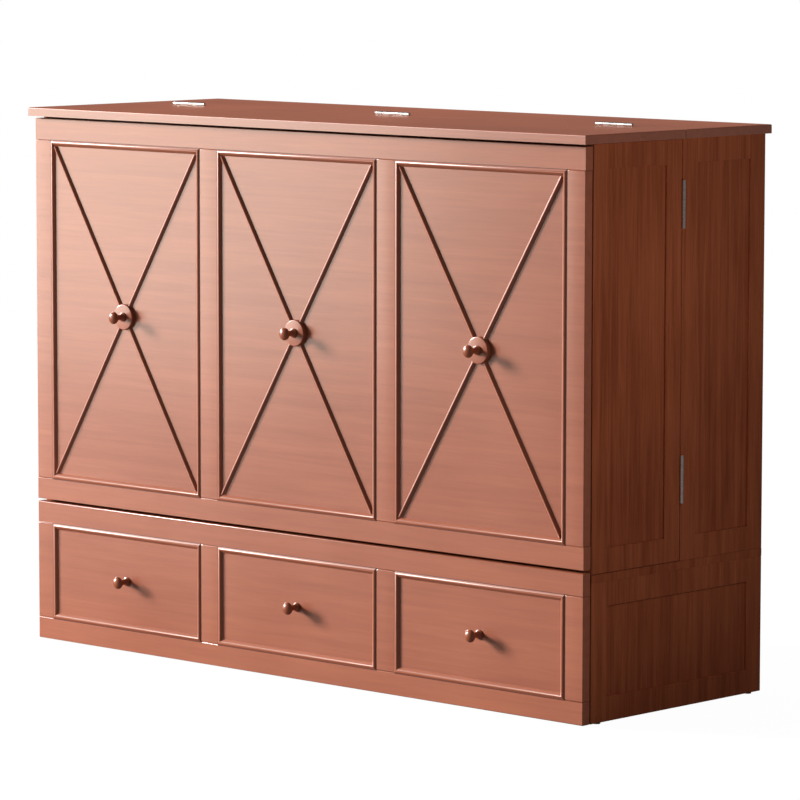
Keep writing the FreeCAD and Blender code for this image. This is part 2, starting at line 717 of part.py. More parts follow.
for index in (-2, -1, 0, 1, 2):
    shift = {-2: "-(%s - batten_width / 2)" % CHEEK_INNER, -1: "-" + FIELD_PITCH + " / 2", 0: "0",
             1: FIELD_PITCH + " / 2", 2: "(%s - batten_width / 2)" % CHEEK_INNER}[index]
    battens.append(board("mid_batten_%d" % (index + 3), shift + " - batten_width / 2", at_depth("front_thickness"),
                         cheek_low, "batten_width", batten_depth, "%s - %s" % (HINGE_Z, cheek_low)))
node(group("mid_battens", battens), "mid_battens")
mid_run = "(%s - %s - mid_slat_start - slat_width)" % (HINGE_Z, PANEL_LOW)
slats = []
for index in range(int(size("mid_slat_count"))):
    z = "%s + mid_slat_start / 2 + %d * %s / (mid_slat_count - 1)" % (PANEL_LOW, index, mid_run)
    slats.append(board("mid_slat_%d" % (index + 1), "-" + CHEEK_INNER, at_depth("deck_depth - slat_thickness"), z,
                       "2 * " + CHEEK_INNER, "slat_thickness", "slat_width"))
node(group("mid_slats", slats), "mid_slats")

node(group("pivot_pins", [rod("pivot_pin_" + side, "pivot_pin_diameter / 2", PIN_LENGTH, pin_start(side),
                              at_depth("pivot_depth"), PIVOT_Z) for side in ("left", "right")]), "pivot_pins")

bumpers = []
for side, sign in (("left", "-"), ("right", "")):
    for index, z in enumerate(("%s + front_rail_width" % PANEL_LOW, "%s - front_rail_width / 2" % PANEL_HIGH)):
        bumpers.append(facet_rod("bumper_%s_%d" % (side, index), PAD_SIDES, "bumper_diameter / 2",
                                 "front_gap - bumper_gap", "%s(%s - side_thickness / 2)" % (sign, HALF),
                                 at_depth("front_thickness"), z, Y_AXIS))
node(group("closing_bumpers", bumpers), "closing_bumpers")

# ---------------------------------------------------------------- pivot arms on the carcase
arms = []
for side in ("left", "right"):
    x = "-%s - arm_thickness" % ARM_X if side == "left" else ARM_X
    body = new_body("arm_" + side, x=x, y=at_depth("pivot_depth"), z=PIVOT_Z)
    start = "(%s - pivot_depth + arm_face_inset)" % SIDE_START
    floor = "(deck_top - %s)" % PIVOT_Z
    sketch = outline(body, "YZ_Plane", body.Name + "_outline", [[
        ("0", "-arm_nose_radius"), (start, "-arm_nose_radius"), (start, floor), (start + " + arm_foot", floor),
        (start + " + arm_foot", floor + " + arm_height"), (start + " + arm_height / 2", floor + " + arm_height"),
        (start, "arm_nose_radius"), ("0", "arm_nose_radius")]])
    pad(body, sketch, "arm_thickness")
    nose = rod("arm_nose_" + side, "arm_nose_radius", "arm_thickness", x, at_depth("pivot_depth"), PIVOT_Z)
    whole = fuse_all("arm_whole_" + side, [body, nose])
    bore = rod("arm_bore_" + side, "pivot_pin_diameter / 2 + pin_clearance",
               "arm_thickness + 2 * cut_overrun", x + " - cut_overrun", at_depth("pivot_depth"), PIVOT_Z)
    arms.append(boolean("Cut", "arm_bored_" + side, whole, bore))
node(group("pivot_arms", arms), "pivot_arms")

# ---------------------------------------------------------------- head deck
bearer_end = "(%s - back_rail_thickness)" % BACK_FACE
bearer_len = "(%s - bearer_start)" % bearer_end
SLAT_TOP = "(%s + deck_depth - pivot_depth)" % PIVOT_Z
bearer_tall = "(%s - slat_thickness - deck_top)" % SLAT_TOP
bearers = pair("head_bearer", "%s - bearer_thickness" % ARM_X, "bearer_thickness",
               at_depth("bearer_start"), "deck_top", bearer_len, bearer_tall)
bearers.append(board("head_bearer_middle", "-bearer_thickness / 2", at_depth("bearer_start"), "deck_top",
                     "bearer_thickness", bearer_len, bearer_tall))
node(group("head_bearers", bearers), "head_bearers")
slats = []
for index in range(int(size("head_slat_count"))):
    place = "bearer_start + %d * (%s - slat_width) / (head_slat_count - 1)" % (index, bearer_len)
    slats.append(board("head_slat_%d" % (index + 1), "-" + ARM_X, at_depth(place), "%s - slat_thickness" % SLAT_TOP,
                       "2 * " + ARM_X, "slat_width", "slat_thickness"))
node(group("head_slats", slats), "head_slats")

# ---------------------------------------------------------------- foot section, folded face to face with the middle
foot_half = "(%s - foot_side_gap)" % CHEEK_INNER
foot_face = "(%s + fold_clearance)" % HINGE_DEPTH
foot_rail_depth = "(%s + foot_slat_thickness)" % foot_face
under_rail = "(%s + slat_thickness + foot_rail_thickness)" % foot_face
foot_rail_tall = "(%s - %s)" % (under_rail, foot_rail_depth)
rail_half = "(%s - plate_thickness)" % foot_half
FOOT_TIP = "(%s - foot_length)" % HINGE_Z
foot_top = "(%s - foot_rail_start)" % HINGE_Z
node(group("foot_side_rails", pair("foot_side_rail", rail_half + " - foot_rail_thickness", "foot_rail_thickness",
                                   at_depth(foot_rail_depth), FOOT_TIP, foot_rail_tall,
                                   "foot_length - foot_rail_start")), "foot_side_rails")
cross_half = "(%s - foot_rail_thickness)" % rail_half
lane = "(2 * %s / lengthwise_slat_count)" % cross_half
foot_slats = []
extension_slats = []
for index in range(int(size("lengthwise_slat_count"))):
    x = "-%s + (%d + 0.5) * %s - slat_width / 2" % (cross_half, index, lane)
    if index % 2 == 0:
        foot_slats.append(board("foot_slat_%d" % (index // 2 + 1), x, at_depth(foot_face), FOOT_TIP, "slat_width",
                                "foot_slat_thickness", "foot_length - foot_rail_start"))
    else:
        extension_slats.append(board("extension_slat_%d" % (index // 2 + 1), x, at_depth(foot_face), FOOT_TIP,
                                     "slat_width", "slat_thickness", "foot_length - extension_tail"))
node(group("foot_slats", foot_slats), "foot_slats")


def notched_rail(name, z, tall):
    """A cross rail with a shallow notch under each sliding slat, which guides it."""
    blank = board(name + "_blank", "-" + cross_half, at_depth(foot_rail_depth), z, "2 * " + cross_half,
                  foot_rail_tall, tall)
    notches = []
    for index in range(1, int(size("lengthwise_slat_count")), 2):
        x = "-%s + (%d + 0.5) * %s - slat_width / 2 - notch_play" % (cross_half, index, lane)
        notches.append(board("%s_notch_%d" % (name, index // 2 + 1), x, at_depth(foot_rail_depth + " - cut_overrun"),
                             z + " - cut_overrun", "slat_width + 2 * notch_play", "notch_depth + cut_overrun",
                             tall + " + 2 * cut_overrun"))
    return boolean("Cut", name, blank, group(name + "_notches", notches))


node(group("foot_cross_rails", [
    notched_rail("foot_hinge_rail", foot_top + " - foot_rail_width", "foot_rail_width"),
    notched_rail("foot_outer_rail", HINGE_Z + " - foot_outer_rail - extension_rail_width", "extension_rail_width"),
]), "foot_cross_rails")

foot_pivots = []
for side in ("left", "right"):
    flip = side == "left"
    x = "-%s" % foot_half if flip else rail_half
    eye = rod("foot_eye_" + side, "plate_eye_radius", "plate_thickness", x, at_depth(HINGE_DEPTH), HINGE_Z)
    neck = board("foot_neck_" + side, x, at_depth(foot_face), "%s - plate_reach" % HINGE_Z, "plate_thickness",
                 "plate_neck", "plate_reach - plate_eye_gap")
    wing = board("foot_leaf_" + side, x, at_depth(foot_face), "%s - plate_reach" % HINGE_Z, "plate_thickness",
                 "slat_thickness + foot_rail_thickness", "plate_reach - foot_rail_start")
    reach = "(%s + cheek_thickness + foot_pin_proud - %s)" % (CHEEK_INNER, rail_half)
    pin_x = "-%s - %s" % (rail_half, reach) if flip else rail_half
    pin = rod("foot_pin_" + side, "foot_pin_diameter / 2", reach, pin_x, at_depth(HINGE_DEPTH), HINGE_Z)
    foot_pivots.append(fuse_all("foot_pivot_" + side, [eye, neck, wing, pin]))
node(group("foot_pivots", foot_pivots), "foot_pivots")

# ---------------------------------------------------------------- pull-out end of the foot section
slide_depth = "(%s + slat_thickness)" % foot_face
slide_half = "(%s - runner_gap)" % cross_half
node(group("extension_rails", [
    board("extension_tip_rail", "-" + slide_half, at_depth(slide_depth), FOOT_TIP, "2 * " + slide_half,
          "foot_rail_thickness", "extension_rail_width"),
    board("extension_tail_rail", "-" + slide_half, at_depth(slide_depth),
          HINGE_Z + " - extension_tail - extension_rail_width", "2 * " + slide_half, "foot_rail_thickness",
          "extension_rail_width"),
]), "extension_rails")
node(group("extension_slats", extension_slats), "extension_slats")

# ---------------------------------------------------------------- legs and their bearings
leg_depth = "(%s + leg_gap + leg_diameter / 2)" % under_rail
leg_reach = "(%s - deck_depth + 2 * %s - %s - leg_floor_gap)" % (SLAT_TOP, HINGE_DEPTH, leg_depth)
near_z = "(%s - near_leg_inset - leg_diameter / 2)" % HINGE_Z
far_z = "(%s + far_leg_inset)" % FOOT_TIP


def bearing(name, x, z):
    """A block under the rail, bored for the leg frame's cross tube."""
    block = board(name + "_block", x, at_depth(under_rail), "%s - leg_diameter / 2 - bearing_wall" % z,
                  "bearing_width", "leg_gap + leg_diameter + bearing_wall / 2", "leg_diameter + 2 * bearing_wall")
    bore = rod(name + "_bore", "leg_diameter / 2 + pin_clearance", "bearing_width + 2 * cut_overrun",
               x + " - cut_overrun", at_depth(leg_depth), z)
    return boolean("Cut", name, block, bore)


def square_leg(name, wide, x, z, length, reach_sign):
    """A square bar centred on x, from height z along the leg's direction."""
    low = "%s - (%s)" % (z, length) if reach_sign < 0 else z
    return board(name, "%s - %s / 2" % (x, wide), at_depth("%s - %s / 2" % (leg_depth, wide)), low, wide, wide, length)


def leg_frame(name, spread, z, reach_sign):
    """A round cross tube with a square tube welded on at each end, and the caps on the two feet."""
    inside_wide = "(leg_diameter - 2 * leg_tube_wall)"
    length = "%s - leg_cap_wall" % leg_reach
    outside = [rod(name + "_cross", "leg_diameter / 2", "2 * %s + leg_diameter" % spread,
                   "-%s - leg_diameter / 2" % spread, at_depth(leg_depth), z)]
    inside = [rod(name + "_cross_hollow", inside_wide + " / 2", "2 * %s + %s" % (spread, inside_wide),
                  "-%s - %s / 2" % (spread, inside_wide), at_depth(leg_depth), z)]
    caps = []
    for side, sign in (("left", "-"), ("right", "")):
        label = "%s_%s" % (name, side)
        x = sign + spread
        outside.append(square_leg(label, "leg_diameter", x, z, length, reach_sign))
        inside.append(square_leg(label + "_hollow", inside_wide, x, z, length, reach_sign))
        foot = "%s + %s - leg_cap_height" % (z, leg_reach)
        if reach_sign < 0:
            foot = "%s - %s + leg_cap_height" % (z, leg_reach)
        shell = square_leg(label + "_cap_shell", "(leg_diameter + 2 * leg_cap_wall)", x, foot,
                           "leg_cap_height", reach_sign)
        hollow = square_leg(label + "_cap_hollow", "leg_diameter", x, foot,
                            "leg_cap_height - leg_cap_wall", reach_sign)
        caps.append(boolean("Cut", label + "_cap", shell, hollow))
    frame = boolean("Cut", name + "_frame", fuse_all(name + "_outside", outside),
                    fuse_all(name + "_inside", inside))
    return frame, caps


def bearings(name, spread, z):
    """A pair of bearings, in from the two legs."""
    return [bearing(name + "_left", "-%s + bearing_inset" % spread, z),
            bearing(name + "_right", "%s - bearing_inset - bearing_width" % spread, z)]


NEAR_SPREAD = "(%s - near_leg_side)" % rail_half
FAR_SPREAD = "(%s - far_leg_side)" % rail_half
near_frame, near_caps = leg_frame("near_leg", NEAR_SPREAD, near_z, -1)
node(near_frame, "near_leg_frame")
node(group("near_leg_feet", near_caps), "near_leg_feet")
node(group("near_leg_bearings", bearings("near_bearing", NEAR_SPREAD, near_z)), "near_leg_bearings")
far_frame, far_caps = leg_frame("far_leg", FAR_SPREAD, far_z, 1)
node(far_frame, "far_leg_frame")
node(group("far_leg_feet", far_caps), "far_leg_feet")
node(group("far_leg_bearings", bearings("far_bearing", FAR_SPREAD, far_z)), "far_leg_bearings")

# ---------------------------------------------------------------- hinges: knuckles proud, leaves in the seam
KNUCKLES = 5
BARREL_SIDES = 8
# A flat-sided hole is widened so that its flats, not its corners, give the clearance.
FLATS_WIDEN = 1 / math.cos(math.pi / BARREL_SIDES)


def hinge(name, along, centre_x, centre_y, centre_z, fixed_side):
    """Fixed leaf, moving leaf and pin of one butt hinge.

    along is "x" for the lid and "z" for a wing; fixed_side is the sign, across the seam,
    of the side that stays.
    """
    step = "(hinge_length / %d)" % KNUCKLES
    axis = X_AXIS if along == "x" else Z_AXIS
    out = {"fixed": [], "moving": []}
    for index in range(KNUCKLES):
        owner = "fixed" if index % 2 == 0 else "moving"
        start = "-hinge_length / 2 + %d * %s + knuckle_gap / 2" % (index, step)
        length = "%s - knuckle_gap" % step
        x, y, z = centre_x, centre_y, centre_z
        if along == "x":
            x = "%s %s" % (x, "+ (%s)" % start)
        else:
            z = "%s %s" % (z, "+ (%s)" % start)
        barrel = facet_rod("%s_knuckle_%d" % (name, index), BARREL_SIDES, "knuckle_radius",
                           length, x, y, z, axis)
        out[owner].append(barrel)
    for owner, sign in (("fixed", fixed_side), ("moving", -fixed_side)):
        sunk = "(hinge_leaf_depth + knuckle_radius)"
        offset = "hinge_leaf_gap" if sign > 0 else "-hinge_leaf_gap - hinge_leaf"
        for index in range(KNUCKLES):
            if (index % 2 == 0) != (owner == "fixed"):
                continue
            start = "-hinge_length / 2 + %d * %s + knuckle_gap / 2" % (index, step)
            length = "%s - knuckle_gap" % step
            if along == "x":
                out[owner].append(board("%s_web_%s_%d" % (name, owner, index),
                                        "%s + (%s)" % (centre_x, start), "%s + %s" % (centre_y, offset),
                                        "%s - %s" % (centre_z, sunk), length, "hinge_leaf", sunk))
            else:
                inward = "-(%s)" % sunk if not centre_x.startswith("-") else "0"
                out[owner].append(board("%s_web_%s_%d" % (name, owner, index),
                                        "%s + %s" % (centre_x, inward), "%s + %s" % (centre_y, offset),
                                        "%s + (%s)" % (centre_z, start), sunk, "hinge_leaf", length))
        if along == "x":
            out[owner].append(board("%s_leaf_%s" % (name, owner),
                                    "%s - hinge_length / 2 + knuckle_gap / 2" % centre_x,
                                    "%s + %s" % (centre_y, offset), "%s - %s" % (centre_z, sunk),
                                    "hinge_length - knuckle_gap", "hinge_leaf",
                                    "hinge_leaf_depth - hinge_leaf_drop"))
        else:
            inward = "-(%s)" % sunk if not centre_x.startswith("-") else "knuckle_radius + hinge_leaf_drop"
            out[owner].append(board("%s_leaf_%s" % (name, owner), "%s + %s" % (centre_x, inward),
                                    "%s + %s" % (centre_y, offset),
                                    "%s - hinge_length / 2 + knuckle_gap / 2" % centre_z,
                                    "hinge_leaf_depth - hinge_leaf_drop", "hinge_leaf",
                                    "hinge_length - knuckle_gap"))
    start_x = "%s - hinge_length / 2" % centre_x if along == "x" else centre_x
    start_z = centre_z if along == "x" else "%s - hinge_length / 2" % centre_z
    result = {}
    for owner in ("fixed", "moving"):
        welded = fuse_all("%s_%s_welded" % (name, owner), out[owner])
        radius = "hinge_pin_radius"
        if owner == "moving":
            radius = "(hinge_pin_radius + hinge_pin_clearance) * %.6f" % FLATS_WIDEN
        bore = facet_rod("%s_%s_bore" % (name, owner), BARREL_SIDES, radius, "hinge_length",
                         start_x, centre_y, start_z, axis)
        result[owner] = boolean("Cut", "%s_%s" % (name, owner), welded, bore)
    result["pin"] = facet_rod(name + "_pin", BARREL_SIDES, "hinge_pin_radius", "hinge_length",
                              start_x, centre_y, start_z, axis)
    return result


lid_hinges = [hinge("lid_hinge_%d" % (index + 2), "x", "%d * (%s - lid_hinge_inset)" % (index, HALF),
                    at_depth("fold_depth"), "top_height + knuckle_radius + knuckle_gap", 1)
              for index in (-1, 0, 1)]
wing_hinges = {}
for side in ("left", "right"):
    x = "(%s + knuckle_radius + knuckle_gap)" % HALF
    if side == "left":
        x = "-" + x
    wing_hinges[side] = [
        hinge(side + "_wing_hinge_low", "z", x, at_depth("seam_depth"), wing_z + " + wing_hinge_rise", 1),
        hinge(side + "_wing_hinge_high", "z", x, at_depth("seam_depth"),
              "%s + %s - wing_hinge_drop" % (wing_z, wing_height), 1)]
every_hinge = lid_hinges + wing_hinges["left"] + wing_hinges["right"]
node(group("fixed_hinge_leaves", [item["fixed"] for item in every_hinge]), "fixed_hinge_leaves")
node(group("hinge_pins", [item["pin"] for item in every_hinge]), "hinge_pins")
node(group("lid_hinge_leaves", [item["moving"] for item in lid_hinges]), "lid_hinge_leaves")
for side in ("left", "right"):
    node(group(side + "_wing_hinge_leaves", [item["moving"] for item in wing_hinges[side]]),
         side + "_wing_hinge_leaves")

# ---------------------------------------------------------------- drawer box and slides
box_half = "(%s - slide_gap)" % INNER
box_y = at_depth("front_thickness")
inner_half = "(%s - drawer_board)" % box_half
sides = pair("drawer_side", inner_half, "drawer_board", box_y, "drawer_box_bottom",
             "drawer_box_depth", "drawer_box_height")
bottom_z = "drawer_box_bottom + drawer_bottom_rise"
bottom = board("drawer_bottom", "-%s - groove_depth" % inner_half,
               at_depth("front_thickness + drawer_board"), bottom_z, "2 * (%s + groove_depth)" % inner_half,
               "drawer_box_depth - 2 * drawer_board", "drawer_bottom_thickness")
box_parts = []
for index, side in enumerate(("left", "right")):
    groove = board("drawer_groove_" + side,
                   ("-%s - groove_depth" % inner_half) if side == "left" else inner_half,
                   at_depth("front_thickness + drawer_board"), bottom_z, "groove_depth",
                   "drawer_box_depth - 2 * drawer_board", "drawer_bottom_thickness")
    box_parts.append(boolean("Cut", "drawer_side_grooved_" + side, sides[index], groove))
for end, place in (("front", "front_thickness"), ("back", "front_thickness + drawer_box_depth - drawer_board")):
    box_parts.append(board("drawer_end_" + end, "-" + inner_half, at_depth(place), "drawer_box_bottom",
                           "2 * " + inner_half, "drawer_board", "drawer_box_height"))
node(group("drawer_box", box_parts), "drawer_box")
node(bottom, "drawer_bottom")
dividers = []
for index in (-1, 1):
    dividers.append(board("drawer_divider_%d" % (index + 2), "%d * %s / 2 - drawer_board / 2" % (index, FIELD_PITCH),
                          at_depth("front_thickness + drawer_board"), bottom_z + " + drawer_bottom_thickness",
                          "drawer_board", "drawer_box_depth - 2 * drawer_board",
                          "drawer_box_height - drawer_bottom_rise - drawer_bottom_thickness"))
node(group("drawer_dividers", dividers), "drawer_dividers")

outers = []
inners = []
slide_z = "(drawer_box_bottom + slide_rise)"
for side in ("left", "right"):
    flip = side == "left"
    body = new_body("slide_outer_" + side, x="0", y=at_depth(SIDE_START), z=slide_z)
    sign = "-" if flip else ""
    lip = "slide_lip"
    corners = [("%s%s" % (sign, INNER), "0"), ("%s%s" % (sign, INNER), "slide_height"),
               ("%s(%s - slide_gap + %s)" % (sign, INNER, lip), "slide_height"),
               ("%s(%s - slide_gap + %s)" % (sign, INNER, lip), "slide_height - slide_wall"),
               ("%s(%s - slide_wall)" % (sign, INNER), "slide_height - slide_wall"),
               ("%s(%s - slide_wall)" % (sign, INNER), "slide_wall"),
               ("%s(%s - slide_gap + %s)" % (sign, INNER, lip), "slide_wall"),
               ("%s(%s - slide_gap + %s)" % (sign, INNER, lip), "0")]
    sketch = outline(body, "XZ_Plane", body.Name + "_section", [corners])
    pad(body, sketch, "drawer_box_depth", reverse=True)
    outers.append(body)
    inner_x = "(%s - slide_gap)" % INNER
    width = "(slide_gap - slide_wall - slide_play)"
    inners.append(board("slide_inner_" + side, ("-%s - %s" % (inner_x, width)) if flip else inner_x,
                        at_depth(SIDE_START), slide_z + " + slide_wall + slide_play", width,
                        "drawer_box_depth - slide_end_gap",
                        "slide_height - 2 * slide_wall - 2 * slide_play"))
node(group("drawer_slide_outers", outers), "drawer_slide_outers")
node(group("drawer_slide_inners", inners), "drawer_slide_inners")

# ---------------------------------------------------------------- checks and files
doc.recompute()
failed = [obj.Name for obj in doc.Objects if "Invalid" in obj.State or "Error" in obj.State]
if failed:
    raise RuntimeError("failed objects: " + ", ".join(failed))
for obj in nodes:
    if obj.Shape.isNull() or not obj.Shape.isValid() or not obj.Shape.Solids:
        raise RuntimeError("bad shape: " + obj.Label)
total = FreeCAD.BoundBox()
for obj in nodes:
    total.add(obj.Shape.BoundBox)
    obj.Shape.exportStep("parts/%s.step" % obj.Label)
print("nodes", len(nodes), "solids", sum(len(obj.Shape.Solids) for obj in nodes))
print("box %.2f..%.2f  %.2f..%.2f  %.2f..%.2f" % (total.XMin, total.XMax, total.YMin, total.YMax,
                                                  total.ZMin, total.ZMax))
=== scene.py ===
# %% [markdown]
# # A cabinet bed, dressed for its portrait
# The model that is loaded here already holds every board, pin and slat at its real size. This lesson gives
# those pieces their finish, remakes the finer ones (mouldings, turned knobs, hinges) with more detail than the
# construction needs, and then sets up a camera and a small studio round them.

# %% Load the frame
import math
import numpy as np
import bpy
import bmesh
from mathutils import Matrix


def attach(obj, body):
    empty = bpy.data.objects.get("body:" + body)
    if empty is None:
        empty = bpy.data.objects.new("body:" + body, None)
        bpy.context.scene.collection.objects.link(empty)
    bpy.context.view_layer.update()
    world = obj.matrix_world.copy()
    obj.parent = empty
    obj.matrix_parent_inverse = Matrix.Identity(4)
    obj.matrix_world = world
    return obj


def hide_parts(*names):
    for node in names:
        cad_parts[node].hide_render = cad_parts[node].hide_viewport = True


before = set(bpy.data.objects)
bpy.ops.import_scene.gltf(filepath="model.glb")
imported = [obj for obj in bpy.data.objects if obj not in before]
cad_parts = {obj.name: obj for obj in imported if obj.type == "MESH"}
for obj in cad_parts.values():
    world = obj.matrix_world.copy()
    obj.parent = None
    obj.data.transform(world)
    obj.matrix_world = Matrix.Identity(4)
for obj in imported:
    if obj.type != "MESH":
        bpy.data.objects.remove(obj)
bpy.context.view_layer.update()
rng = np.random.default_rng(7)

# %% [markdown]
# ## The camera
# The camera stands a long way off to the right, a little above the top, as a product photographer with a long
# lens would. Its place and direction were solved from the straight edges of the cabinet, so that every edge of
# the model falls where it does in the photograph. A camera looks along its own -Z, so its matrix has the right,
# the up and the backward directions as columns.

# %% Camera
EYE = np.array([6.86941633, -7.29608, 1.70646])
YAW, PITCH, ROLL = np.radians([-43.05674866, -6.38838945, -0.07610482])
ahead = np.array([math.sin(YAW) * math.cos(PITCH), math.cos(YAW) * math.cos(PITCH), math.sin(PITCH)])
right = np.array([math.cos(YAW), -math.sin(YAW), 0.0])
down = np.cross(ahead, right)
right, down = math.cos(ROLL) * right + math.sin(ROLL) * down, -math.sin(ROLL) * right + math.cos(ROLL) * down
camera = bpy.data.objects.new("camera", bpy.data.cameras.new("camera"))
bpy.context.scene.collection.objects.link(camera)
pose = np.eye(4)
pose[:3, 0], pose[:3, 1], pose[:3, 2], pose[:3, 3] = right, -down, -ahead, EYE
camera.matrix_world = Matrix(pose.tolist())
camera.data.sensor_width = 36.0
camera.data.lens = 36.0 * 4632.19 / 800
camera.data.clip_end = 100.0
bpy.context.scene.camera = camera
bpy.context.scene.view_settings.view_transform = "Standard"
print("camera lens", round(camera.data.lens, 1))

# %% [markdown]
# ## Shader arithmetic
# A material is a graph of nodes, and sums in it are easier to read as sums. This small class wraps one output
# socket. Adding or multiplying two wrapped sockets puts the Math node there, and `node` makes any other node
# from its type, its settings and what goes into its sockets.

# %% A socket that does sums
class Shade:
    """An output socket that takes part in ordinary arithmetic."""

    def __init__(self, tree, socket=None):
        self.tree, self.socket = tree, socket

    def node(self, kind, settings=None, sockets=None, out=0):
        """Any node: its settings first, then values or links for its sockets."""
        made = self.tree.nodes.new(kind)
        for key, value in (settings or {}).items():
            if key == "stops":
                ramp = made.color_ramp
                while len(ramp.elements) < len(value):
                    ramp.elements.new(0.5)
                for element, (place, colour) in zip(ramp.elements, value):
                    element.position, element.color = place, (*colour, 1.0)
            else:
                setattr(made, key, value)
        for key, value in (sockets or {}).items():
            if isinstance(value, Shade):
                self.tree.links.new(value.socket, made.inputs[key])
            else:
                made.inputs[key].default_value = value
        return Shade(self.tree, made.outputs[out]) if len(made.outputs) else made

    def maths(self, operation, first, second):
        return self.node("ShaderNodeMath", {"operation": operation}, {0: first, 1: second})

    def __add__(self, other): return self.maths("ADD", self, other)
    def __radd__(self, other): return self.maths("ADD", other, self)
    def __sub__(self, other): return self.maths("SUBTRACT", self, other)
    def __rsub__(self, other): return self.maths("SUBTRACT", other, self)
    def __mul__(self, other): return self.maths("MULTIPLY", self, other)
    def __rmul__(self, other): return self.maths("MULTIPLY", other, self)


def new_finish(name, paint, **constants):
    """A material whose Principled shader takes varying values from paint(start) and plain ones as they are."""
    material = bpy.data.materials.new(name)
    material.use_nodes = True
    tree = material.node_tree
    tree.nodes.clear()
    start = Shade(tree)
    varying = paint(start)
    shader = start.node("ShaderNodeBsdfPrincipled", None, {**constants, **varying})
    start.node("ShaderNodeOutputMaterial", None, {"Surface": shader})
    return material

# %% [markdown]
# ## Lacquered wood
# The cabinet wears one satin lacquer over a reddish, fine-grained wood. The figure runs along each board, so
# the pattern is stretched along the grain and squeezed across it: a broad figure, a fine streak and short dark
# pores. Each board carries a number of its own, which shifts the pattern, so that no grain line runs on across
# a joint. Slats and inside boards are bare wood with the same figure in paler tones. The surface's own
# unevenness goes into its roughness and a very small bump.

# %% Wood
# Painted shade: the near-black red that is painted into the mouldings' quirks, where shade falls at a bead's feet.
PAINTED_SHADE_COLOUR = (0.09, 0.012, 0.004, 1.0)
COAT = 0.8
GRAIN = {"level": (1.0, 26.0, 26.0), "upright": (26.0, 26.0, 1.0), "deep": (26.0, 1.0, 26.0)}


def wood_coordinates(start, grain):
    """Object coordinates, moved by the board's own number and stretched along the grain."""
    place = start.node("ShaderNodeTexCoord", out="Object")
    number = start.node("ShaderNodeAttribute", {"attribute_name": "board_number"}, out="Fac")
    shift = start.node("ShaderNodeCombineXYZ", None, {"X": number * 3.1, "Y": number * 1.7, "Z": number * 2.3})
    moved = start.node("ShaderNodeVectorMath", {"operation": "ADD"}, {0: place, 1: shift})
    mapped = start.node("ShaderNodeMapping", {"vector_type": "POINT"}, {"Vector": moved, "Scale": GRAIN[grain]})
    return place, mapped, number


def lacquered(name, grain, dark, light, contrast, rough, gloss=None, quirks=False, **constants):
    """Satin lacquer over fine wood, from its darkest and its lightest tone.

    With gloss "edges" a board has its gloss coat on its edges and not on its level face, with "front" only on its
    front and back. A moulding can also take painted shade: a near-black red painted into its quirks, where shade
    falls.
    """
    def paint(start):
        place, mapped, number = wood_coordinates(start, grain)
        figure = start.node("ShaderNodeTexNoise", None, {"Vector": mapped, "Scale": 2.2, "Detail": 5.0,
                                                         "Roughness": 0.55, "Distortion": 0.6})
        streak = start.node("ShaderNodeTexNoise", None, {"Vector": mapped, "Scale": 9.0, "Detail": 3.0,
                                                         "Roughness": 0.6})
        cloud = start.node("ShaderNodeTexNoise", None, {"Vector": place, "Scale": 3.0, "Detail": 2.0})
        pore = start.node("ShaderNodeTexNoise", None, {"Vector": mapped, "Scale": 34.0, "Detail": 1.0})
        pores = start.node("ShaderNodeMapRange", None, {"Value": pore, "From Min": 0.62, "From Max": 0.75,
                                                        "To Min": 0.0, "To Max": 1.0})
        tone = ((figure - 0.5) * 1.1 + (streak - 0.5) * 0.6 + (cloud - 0.5) * 0.6) * contrast
        tone = tone + 0.5 + (number - 0.5) * 0.16 - pores * (0.14 * contrast)
        colour = start.node("ShaderNodeValToRGB", {"stops": [(0.0, dark), (1.0, light)]}, {"Fac": tone})
        height = streak * 0.35 + figure * 0.25 - pores * 0.6
        bump = start.node("ShaderNodeBump", None, {"Height": height, "Strength": 0.25, "Distance": 0.00008})
        varying = {"Base Color": colour, "Roughness": (cloud - 0.5) * 0.10 + rough, "Normal": bump}
        # Painted shade: a near-black red takes the place of the wood where the point value marks a quirk.
        if quirks:
            quirk_shade_share = start.node("ShaderNodeAttribute", {"attribute_name": "stain"}, out="Fac")
            varying["Base Color"] = start.node("ShaderNodeMix", {"data_type": "RGBA"},
                                               {0: quirk_shade_share, 6: colour, 7: PAINTED_SHADE_COLOUR}, out=2)
        if gloss:
            facing = start.node("ShaderNodeTexCoord", out="Normal")
            axis = "Z" if gloss == "edges" else "Y"
            share = start.node("ShaderNodeSeparateXYZ", None, {"Vector": facing}, out=axis)
            share = share.maths("ABSOLUTE", share, 0.0) * COAT
            varying["Coat Weight"] = COAT - share if gloss == "edges" else share
        return varying
    return new_finish(name, paint, **constants)


LACQUER_DARK, LACQUER_LIGHT = (0.255, 0.062, 0.028), (0.43, 0.125, 0.058)
level_lacquer = lacquered("lacquer_level_grain", "level", LACQUER_DARK, LACQUER_LIGHT, 0.75, 0.34, gloss="front",
                          **{"Coat Roughness": 0.2, "Coat IOR": 1.5})
top_lacquer = lacquered("lacquer_top", "level", LACQUER_DARK, LACQUER_LIGHT, 0.75, 0.36, gloss="edges",
                        **{"Specular IOR Level": 0.7, "Coat Roughness": 0.2, "Coat IOR": 1.5})
upright_lacquer = lacquered("lacquer_upright_grain", "upright", (0.22, 0.047, 0.018), (0.45, 0.120, 0.048), 1.3,
                            0.42, **{"Specular IOR Level": 0.06})
